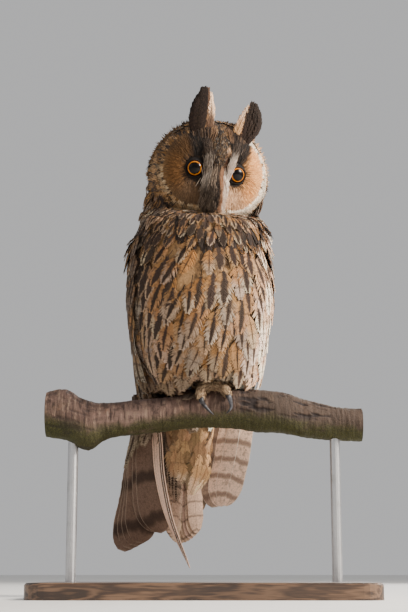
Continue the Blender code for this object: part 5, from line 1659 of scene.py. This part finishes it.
def coat_wings():
    """Each folded wing: its flight feathers, and the coverts over it in tiers that grow smaller upward."""
    for name in ("right", "left"):
        wing = WINGS[name]
        draws = np.random.default_rng(45 if name == "right" else 46)
        flight = Coat(f"flight_feathers_{name}", body_unwrap(-130.0, 60.0))
        for kind, count, share, share_step, height, path, root_step, tip_step, end, width, way in FLIGHT[name]:
            root_share, tip_share, first_seed = FLIGHT_SHAPES[kind]
            extra = 4 if kind == "blade" else 1
            for k in np.arange(0, count - 1 + 1e-6, 1 / extra):
                points = [sheet_point(wing, share + share_step * k, height, 1.6)[0]]
                for t, point in zip((0, 1 / 3, 2 / 3, 1), path):
                    points.append(np.array(point) + (np.array(root_step) * (1 - t) + np.array(tip_step) * t) * k)
                if end:
                    points[-1] = np.array(end[0]) + np.array(end[1]) * k
                line = resample(curve_through(points, 6), 36)
                seed = first_seed + 0.003 * k if first_seed else draws.random()
                mark = dict(FLIGHT_LOOKS[kind])
                if kind == "blade":
                    mark["edge"] = draws.uniform(0.15, 0.5)
                # The inner vanes after the first two lie further back and are painted darker, as painted shade
                if kind == "inner" and k > 1:
                    mark["ground"] = np.array(mark["ground"]) * 0.45
                flight.vane(*BODY.both(line, facing(way, 36)), stiff_halves(width, 36, root_share, tip_share), mark,
                            seed, crown=0.08, thick=0.6, cells=6, ragged=0.03, shaft=0.0 if kind == "dark" else 0.35)
        # Four dark feathers on the wing's inner side, between its leading edge and the tail: painted shade
        if name == "right":
            for k in range(4):
                path = ((-24.0 + 3.4 * k, 30.0, 12.0), (-20.0 + 3.0 * k, 38.0, -22.0),
                        (-14.0 + 2.6 * k, 48.0, -58.0 - 4.0 * k))
                line = curve_through(path, 8)
                mark = look((0.12, 0.075, 0.05), (0.30, 0.21, 0.15), (0.03, 0.02, 0.015), 0.2, 0.3, 0.5, 5.0)
                flight.feather(*BODY.both(line, facing((-0.3, -1.0, 0.0), len(line))), oval(6.2, len(line), 0.8), mark,
                               draws.random(), barbs=36, lean=0.14, ragged=0.2, width=1.2)
        # The long edges of the hand's feathers, out from under the flank beside the leading edge
        for k in range(5):
            places = [(0.015 + 0.045 * k + 0.05 * t, 64.0 - 3.0 * k - 72.0 * t, 3.6 - 0.35 * k)
                      for t in (j / 29 for j in range(30))]
            flight.vane(*BODY.both(*sheet_line(wing, places)), stiff_halves(6.0, 30, 0.8, 0.9), FLIGHT_LOOKS["edge"],
                        draws.random(), crown=0.1, thick=0.5, cells=4, shaft=0.3)
        flight.finish(stiff_material, "wing_plumage", f"wing_{name}")

        coverts = Coat(f"wing_coverts_{name}", body_unwrap(-60.0, 150.0))
        # Rows of coverts: how many, the heights of the first and the last, length, half width, lift and barbs
        rows = [(9, 44.0, 38.0, 78.0 if name == "right" else 60.0, 8.4, 4.2, 30), (9, 62.0, 58.0, 46.0, 7.6, 5.0, 20)]
        rows += [(11, 60.0 + 9.5 * k, 57.0 + 9.8 * k, 25.0 - 0.7 * k, 6.0 - 0.12 * k, 4.8, 14) for k in range(1, 9)]
        for row, (count, lead, trail, long, half, lift, barbs) in enumerate(rows):
            for k in range(count + row % 2):
                t = (k + (0.5 if row % 2 == 0 else 0.0)) / count
                share = 0.06 + 0.92 * t if row < 2 else 0.97 * t
                top = lead + (trail - lead) * t + draws.uniform(-2, 2)
                reach = long * draws.uniform(0.88, 1.08)
                if row == 0:
                    reach *= 0.80 + 0.22 * math.sin(math.pi * min(1.0, 0.25 + t))
                places = [(share + 0.02 * s, top - reach * s, 1.6 + (lift - 1.6) * s**0.8)
                          for s in (j / 8 for j in range(9))]
                mark = mantle_look(draws)
                if row == 0:
                    colours = vary((0.23, 0.15, 0.09), draws, 0.3), vary((0.30, 0.22, 0.155), draws, 0.3)
                    mark = look(*colours, vary((0.05, 0.03, 0.022), draws), 0.24, 0.42, 0.8, draws.uniform(4, 6))
                coverts.feather(*BODY.both(*sheet_line(wing, places)), oval(half, 9), mark, draws.random(), barbs=barbs,
                                lean=0.20 if row == 0 else 0.30, ragged=0.10, thick=0.4)
        coverts.finish(feather_material, "wing_plumage")


def coat_tail():
    """The tail's twelve feathers, and the long loose plumes under it."""
    draws = np.random.default_rng(55)
    tail = Coat("tail_feathers", body_unwrap(-110.0, 0.0))
    for k in range(12):
        place = (k - 5.5) / 5.5
        layer = abs(place) * 8.4 - (0.76 if place < 0 else 0.0)
        t = np.arange(26) / 25
        y = 62.0 + 8.5 * t - layer * (0.5 + 0.5 * t)
        line = np.stack([4.6 + place * (7.0 + 4.5 * t), y, -34.0 - (67.0 - 8.0 * place * place) * t], 1)
        colours = vary((0.55, 0.385, 0.28), draws, 0.06), (0.66, 0.54, 0.44), vary((0.085, 0.06, 0.045), draws)
        tail.vane(*BODY.both(line, facing((place * 0.12, -1.0, -0.1), 26)), stiff_halves(14.0, 26, 0.75),
                  look(*colours, 0.0, 0.17, 0.3, 5.2, edge=0.05), 0.31 + 0.002 * k, crown=0.05, thick=0.55, cells=4,
                  ragged=0.05, shaft=0.4)
    tail.finish(stiff_material, "tail_plumage", "tail")

    plumes = Coat("coat_under_tail", body_unwrap(-80.0, 40.0))
    t = np.linspace(0, 1, 10)[:, None]
    for row, k in np.ndindex(6, 8):
        spread = (k - 3.5) / 3.5 + (0.15 if row % 2 else -0.05)
        lobe = 4.0 if spread > 0.05 else -4.4
        top = np.array((1.0 + spread * 19.0, 24.0 + 7.0 * spread * spread + row * 2.0, 20.0 - row * 11.0))
        end = -44.0 - row * 4.0 + 5.0 * abs(spread) + draws.uniform(-5, 4) - lobe * 0.7
        tip = np.array((0.6 + spread * 4.6 + lobe, 50.5 + 0.4 * row, end))
        line = top * (1 - t) + tip * t + np.array((0, -7.0, 0)) * np.sin(np.pi * t)
        # Each plume's brightness varies at random; the bird's right lobe is painted darker, as painted shade, and the
        # plumes along the seam between the lobes darker still, as painted shade in the crease
        tone_and_shade = (0.55 + 0.45 * float(smooth(-0.9, 0.3, spread))) * draws.choice((0.6, 1.0, 1.2, 1.4))
        tone_and_shade = tone_and_shade * (0.45 if abs(spread - 0.05) < 0.12 else 1.0)
        colours = vary((0.52, 0.32, 0.165), draws) * tone_and_shade, vary((0.86, 0.65, 0.44), draws) * tone_and_shade
        mark = look(*colours, vary((0.17, 0.09, 0.045), draws), 0.10, 0.0, 0.3, 2)
        plumes.feather(*BODY.both(line, facing((spread * 0.45, -1.0, -0.25), 10)), oval(4.6, 10, 0.6, 0.3), mark,
                       draws.random(), barbs=34, lean=0.16, ragged=0.35, thick=0.45, width=1.3)
    plumes.finish(feather_material, "breast")


def coat_feet():
    """The short hair-like feathers of legs and toes."""
    draws = np.random.default_rng(65)
    coat = Coat("coat_toes", body_unwrap(-20.0, 40.0))

    def keep(points):
        local = BODY.local(points)
        return (local[:, 2] < 26.0) & (local[:, 1] < 14)

    def toward(points):
        """Down the leg, then out along the toes."""
        p = STAND.local(points)
        on_toe = smooth(24.0, 17.0, p[:, 2])[:, None]
        return unit(np.array((0.0, 0.0, -1.0)) * (1 - on_toe) + unit(p - np.array((7.0, 0.0, 22.0))) * on_toe)

    roots, normals = surface.scatter(keep, 1.2, 63)
    number = len(roots)
    long = draws.uniform(3.4, 5.6, number)
    lines, ups = surface.lay(roots, normals, toward, long, 4, (0.1, draws.uniform(0.8, 1.9, number)), None, 0.25, 68)
    side = unit(np.cross(unit(np.gradient(lines, axis=1)), ups))
    tone = draws.random(number)
    half = np.tile((0.5, 0.5, 0.36, 0.05), (number, 1))
    plan = strand_plan(number, np.linspace(0, 1, 4)[None], tone)
    colour = mix((0.22, 0.135, 0.075), (0.56, 0.40, 0.25), tone)
    coat.strands(lines, side, ups, half, np.full(half.shape, 0.22), plan, rows_look(colour))
    coat.finish(feather_material, "toe")


def paint_skin():
    """Gives the skin the coat's colours at every point."""
    points = surface.points
    local, face = BODY.local(points), HEAD.local(points)
    front = smooth(80, 64, np.abs(body_angle(local)))
    ground = mix(GREY_BROWN, mix(BUFF, CREAM, 0.6 * smooth(60, 28, local[:, 2])), front)
    strength = np.full(len(points), 0.85)
    inside = in_face(points, -0.02)
    draws = np.random.default_rng(75)
    for side in (-1, 1):
        # The face's colours, with their painted shade and sunlight, go onto the skin under the discs too
        colours = face_colour(side, face[:, 0], face[:, 2], draws)
        here = inside & (face[:, 0] * side > 0)
        ground[here] = colours[here] * 0.6
        strength[here] = 0.15
    foot = (local[:, 2] < 26) & (local[:, 1] < 14)
    ground[foot] = (0.30, 0.21, 0.14)
    strength[foot] = 0.3
    colour_layer(skin.data, "ground", ground)
    colour_layer(skin.data, "mark", np.concatenate([np.tile(BROWN, (len(points), 1)), strength[:, None]], 1))
    skin.data.materials.clear()
    skin.data.materials.append(skin_material())
    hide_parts("torso", "neck", "head", "leg_left", "leg_right", "foot_left", "foot_right")


def build_eyes():
    """The eyes, with the plan that draws the iris, and the lids."""
    material, lid_skin = eye_material(), lid_material()
    for side, name in ((-1, "right"), (1, "left")):
        middle = eye_middle(side)
        axis = unit(np.array((side * 0.22, -1.0, 0.0)))
        across = unit(np.cross(axis, (0.0, 0.0, 1.0)))
        up = unit(np.cross(across, axis))
        rows, around = 56, 72
        b = turns(around)
        outward = across * np.cos(b)[:, None] + up * np.sin(b)[:, None]
        rings, plan = [], []
        for a in np.pi * np.arange(1, rows) / rows:
            radius = EYE_RADIUS * (1 + 0.055 * float(smooth(0.95, 0.25, a)))
            rings.append(middle + axis * radius * math.cos(a) + outward * radius * math.sin(a))
            plan.append(np.stack([np.full(around, a), b / (2 * np.pi), np.zeros(around)], 1))
        eye = solid(f"eyeball_{name}", HEAD, tube_mesh(rings), material, f"eye_{name}")
        plan_layer(eye.data, np.concatenate(plan + [np.array([(0.0, 0.0, 0.0), (np.pi, 0.0, 0.0)])]))
        # Lids: a folded ring that covers the rim of the eye, lower at the top
        section = 16
        rings = []
        for a in b:
            opening = 6.9 - 0.9 * max(0.0, math.sin(a)) ** 2 - 0.25 * max(0.0, -math.sin(a)) ** 2
            for c in turns(section):
                reach = opening + 1.5 + 1.5 * math.cos(c)
                base = math.sqrt(max(EYE_RADIUS**2 * 1.04 - min(reach, 8.9) ** 2, 4.0))
                out = (across * math.cos(a) + up * math.sin(a)) * (reach + 0.16 * math.sin(3 * c + 0.5))
                rings.append(middle + out + axis * (base + 0.35 + (0.55 + 0.1 * math.sin(5 * a)) * math.sin(c)))
        count = around * section
        faces = np.concatenate([band(first, section) for first in range(0, count, section)]) % count
        solid(f"lid_{name}", HEAD, (np.array(rings), faces), lid_skin)


def build_bill():
    """The hooked upper half of the bill, with its nostrils, and the lower half behind it."""
    horn = horn_material("bill_horn", (0.008, 0.007, 0.008), (0.028, 0.025, 0.026))
    root = float(head_front(0.0, -8.0))

    def half(path, radii, sides, flat):
        line = curve_through([(0, root + y, z) for y, z in path], 8)
        radii = np.interp(np.linspace(0, len(radii) - 1, len(line)), range(len(radii)), radii)
        return tube(line, radii, sides, flat, (0, -1, 0.3))

    path = ((7, -4.0), (-0.5, -5.5), (-4.0, -8.5), (-5.8, -13.0), (-5.6, -17.6), (-4.2, -21.4), (-2.6, -23.8))
    points, faces = half(path, (4.6, 4.5, 4.2, 3.5, 2.5, 1.4, 0.35), 36, 1.0)
    # A nostril is sunk on each side of the cere, and the sides are drawn in above the cutting edge
    for side in (-1, 1):
        near = np.linalg.norm(points - np.array((side * 3.7, root - 3.2, -7.6)), axis=1)
        points = points - np.outer(np.exp(-((near / 1.1) ** 2)) * 1.1, (side, 0, 0))
    points[:, 0] *= 1 - np.exp(-(((points[:, 2] + 14.0) / 7.0) ** 2)) * 0.10
    solid("bill_top", HEAD, (points, faces), horn, "bill_upper")
    lower = half(((6.0, -13.0), (1.0, -15.0), (-1.4, -18.2), (-1.9, -20.8)), (3.4, 3.2, 2.4, 0.5), 28, 0.8)
    solid("bill_bottom", HEAD, lower, horn, "bill_lower")


def build_claws():
    """The four claws that grip the branch and the three of the clenched foot."""
    horn = horn_material("claw_horn", (0.016, 0.015, 0.018), (0.13, 0.13, 0.15))

    def claw(place, path, per_span, thick, taper, tip, sides, name):
        line = curve_through(path, per_span)
        radii = thick * (1 - np.linspace(0, 1, len(line))) ** taper + tip
        solid(f"talon_{name}", place, tube(line, radii, sides, 1.0, (1, 0, 0)), horn, f"claw_{name}")

    for name, toe, tip in STANDING_TOES:
        base = [grip_point(x, a, 0.8 * TOE_RADIUS) for x, a in toe]
        ahead = unit(base[-1] - base[-2])
        path = [base[-1] - ahead * 1.5, base[-1] + ahead * 2.0] + [grip_point(x, a, 1.2) for x, a in tip]
        claw(STAND, path, 7, 2.1, 0.72, 0.22, 20, f"left_{name}")
    for k in (-1, 0, 1):
        start = np.array((CLENCHED_X + k * CLENCHED_APART, -3.4, 16.4))
        path = [start + np.array((0, d, h)) for d, h in ((-0.6, 0.6), (0.4, -0.3), (3.4, -1.2), (6.4, -0.8))]
        claw(BODY, path, 6, 1.4, 0.7, 0.2, 16, f"right_{k + 2}")


def build_branch():
    """The branch with its cross-cracked bark, knots and sawn ends."""
    along, around = 560, 130
    xs, a = np.linspace(-122.0, 122.0, along), turns(around)
    axis = np.array([perch_axis(x)[0] for x in xs])
    X, A = np.meshgrid(xs, a, indexing="ij")
    R = np.repeat(np.array([perch_axis(x)[1] for x in xs])[:, None], around, 1)
    low, high = np.maximum(0.0, -np.sin(A)), np.maximum(0.0, np.sin(A))
    R = R + 5.5 * np.exp(-(((X + 91) / 12) ** 2)) * low**2 + 3.5 * np.exp(-(((X + 112) / 9) ** 2)) * high**2
    R = R + 0.35 * np.sin(3 * A + X * 0.05) + 0.3 * np.sin(2 * A - X * 0.09)
    rolled = np.stack([X, 14 * np.cos(A), 14 * np.sin(A)], -1)
    lumps = layered(rolled, 26.0, 3.0) - 0.5
    cross = noise(rolled * np.array((1.0, 0.16, 0.16)), 1.9, 5.0) - 0.5
    fine = noise(rolled, 1.6, 9.0) - 0.5
    plates = layered(rolled * np.array((0.20, 1.0, 1.0)), 3.0, 21.0)
    # Deep cracks gather on top and in front, beyond the foot on the bird's left
    where = smooth(20, 34, X) * smooth(0.05, 0.6, np.cos(A - 2.0)) + 0.30 * smooth(-70, -95, X) + 0.12
    crack = smooth(0.52, 0.62, plates) * np.clip(where, 0, 1)
    R = R + 1.4 * lumps + 0.55 * cross + 0.25 * fine - 1.1 * crack
    # Knots: x, bearing, size and height
    knots = ((-104.0, 2.1, 6.0, 2.6), (-60.0, -0.7, 5.0, 1.6), (72.0, -2.2, 6.0, 2.0), (-30.0, 2.6, 4.0, 1.2),
             (94.0, 0.6, 5.0, 1.6))
    for at, bearing, size, tall in knots:
        d = np.hypot((X - at) / size, np.angle(np.exp(1j * (A - bearing))) * 14 / size)
        R = R + tall * np.exp(-(d**2)) - 0.7 * tall * np.exp(-((d / 0.4) ** 2))
    bark = axis[:, None] + np.stack([np.zeros_like(R), R * np.cos(A), R * np.sin(A)], -1)
    moss = smooth(0.15, -0.70, np.sin(A)) * 0.95 + smooth(-96, -112, X) * 0.15
    plans = [np.stack([np.clip(crack * 1.1, 0, 1), high, np.clip(moss, 0, 1)], -1).reshape(-1, 3)]
    points = [bark.reshape(-1, 3)]
    faces = [band(row * around, around) for row in range(along - 1)]
    # Sawn ends: flat discs of rings
    shares = np.linspace(1.0, 0.0, 14)[:-1]
    for row, turn in ((0, -1), (along - 1, 1)):
        first = sum(len(part) for part in points)
        for r in shares:
            points.append(axis[row] + (bark[row] - axis[row]) * r)
            plans.append(np.stack([np.full(around, r), np.arange(around) / around, np.zeros(around)], 1))
        points.append(axis[row][None])
        plans.append(np.zeros((1, 3)))
        hub = first + len(shares) * around
        faces += [band(ring, around)[:, ::turn] for ring in range(first, hub - around, around)]
        faces.append(fan(hub, hub - around, around)[:, ::turn])
    faces = np.concatenate(faces)
    item = solid("branch", STAND, (np.concatenate(points), faces), bark_material(), "perch")
    plan_layer(item.data, np.concatenate(plans))
    item.data.materials.append(cut_wood_material())
    sawn = np.arange(len(faces)) >= 2 * around * (along - 1)
    item.data.polygons.foreach_set("material_index", sawn.astype(np.int32))


def dress_stand():
    steel, walnut = steel_material(), walnut_material()
    for name, material in (("stand_base", walnut), ("stand_rod_left", steel), ("stand_rod_right", steel)):
        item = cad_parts[name]
        for k in range(len(item.material_slots)):
            item.material_slots[k].material = material


def build_stage():
    """A plain pale floor, plain studio light and the photo's view."""
    link = bpy.context.scene.collection.objects.link
    mesh = bpy.data.meshes.new("floor")
    mesh.from_pydata([(x * 30.0, y * 30.0, 0) for x, y in ((-1, -1), (1, -1), (1, 1), (-1, 1))], [], [(0, 1, 2, 3)])
    floor = bpy.data.objects.new("floor", mesh)
    link(floor)
    n = Nodes("floor_paint")
    colour = n.ramp(n.noise(n.coordinates(), 40.0, 3.0), (0.3, (0.70, 0.69, 0.67)), (0.7, (0.74, 0.73, 0.71)))
    mesh.materials.append(n.finish(colour, 0.8, None))
    world = bpy.data.worlds.new("studio")
    bpy.context.scene.world = world
    world.use_nodes = True
    back = world.node_tree.nodes["Background"]
    back.inputs[0].default_value = (0.90, 0.90, 0.91, 1.0)
    back.inputs[1].default_value = 0.58
    for name, spot, aim, size, power, colour in (
        ("key", (1.15, -0.55, 0.95), 0.25, 0.6, 66.0, (1.0, 0.92, 0.82)),
        ("fill", (-1.3, -1.1, 0.8), 0.22, 1.2, 3.0, (1.0, 0.97, 0.93)),
        ("rim", (0.6, 1.3, 0.9), 0.25, 0.8, 18.0, (1.0, 0.97, 0.92)),
    ):
        light = bpy.data.lights.new(name, "AREA")
        light.shape, light.size, light.energy, light.color = "DISK", size, power, colour
        item = bpy.data.objects.new(name, light)
        item.location = spot
        item.rotation_euler = (Vector((0.0, 0.0, aim)) - Vector(spot)).to_track_quat("-Z", "Y").to_euler()
        link(item)
    camera = bpy.data.cameras.new("camera")
    camera.sensor_fit, camera.sensor_height, camera.lens = "VERTICAL", 36.0, 75.13
    item = bpy.data.objects.new("camera", camera)
    item.location = (0.0, -1.0, 0.018)
    item.rotation_euler = (math.pi / 2 + math.atan2(0.21, 1.0), 0.0, 0.0)
    link(item)
    bpy.context.scene.camera = item


build_stage()
paint_skin()
coat_body()
coat_head()
coat_face()
coat_ears()
coat_wings()
coat_tail()
coat_feet()
build_eyes()
build_bill()
build_claws()
build_branch()
dress_stand()
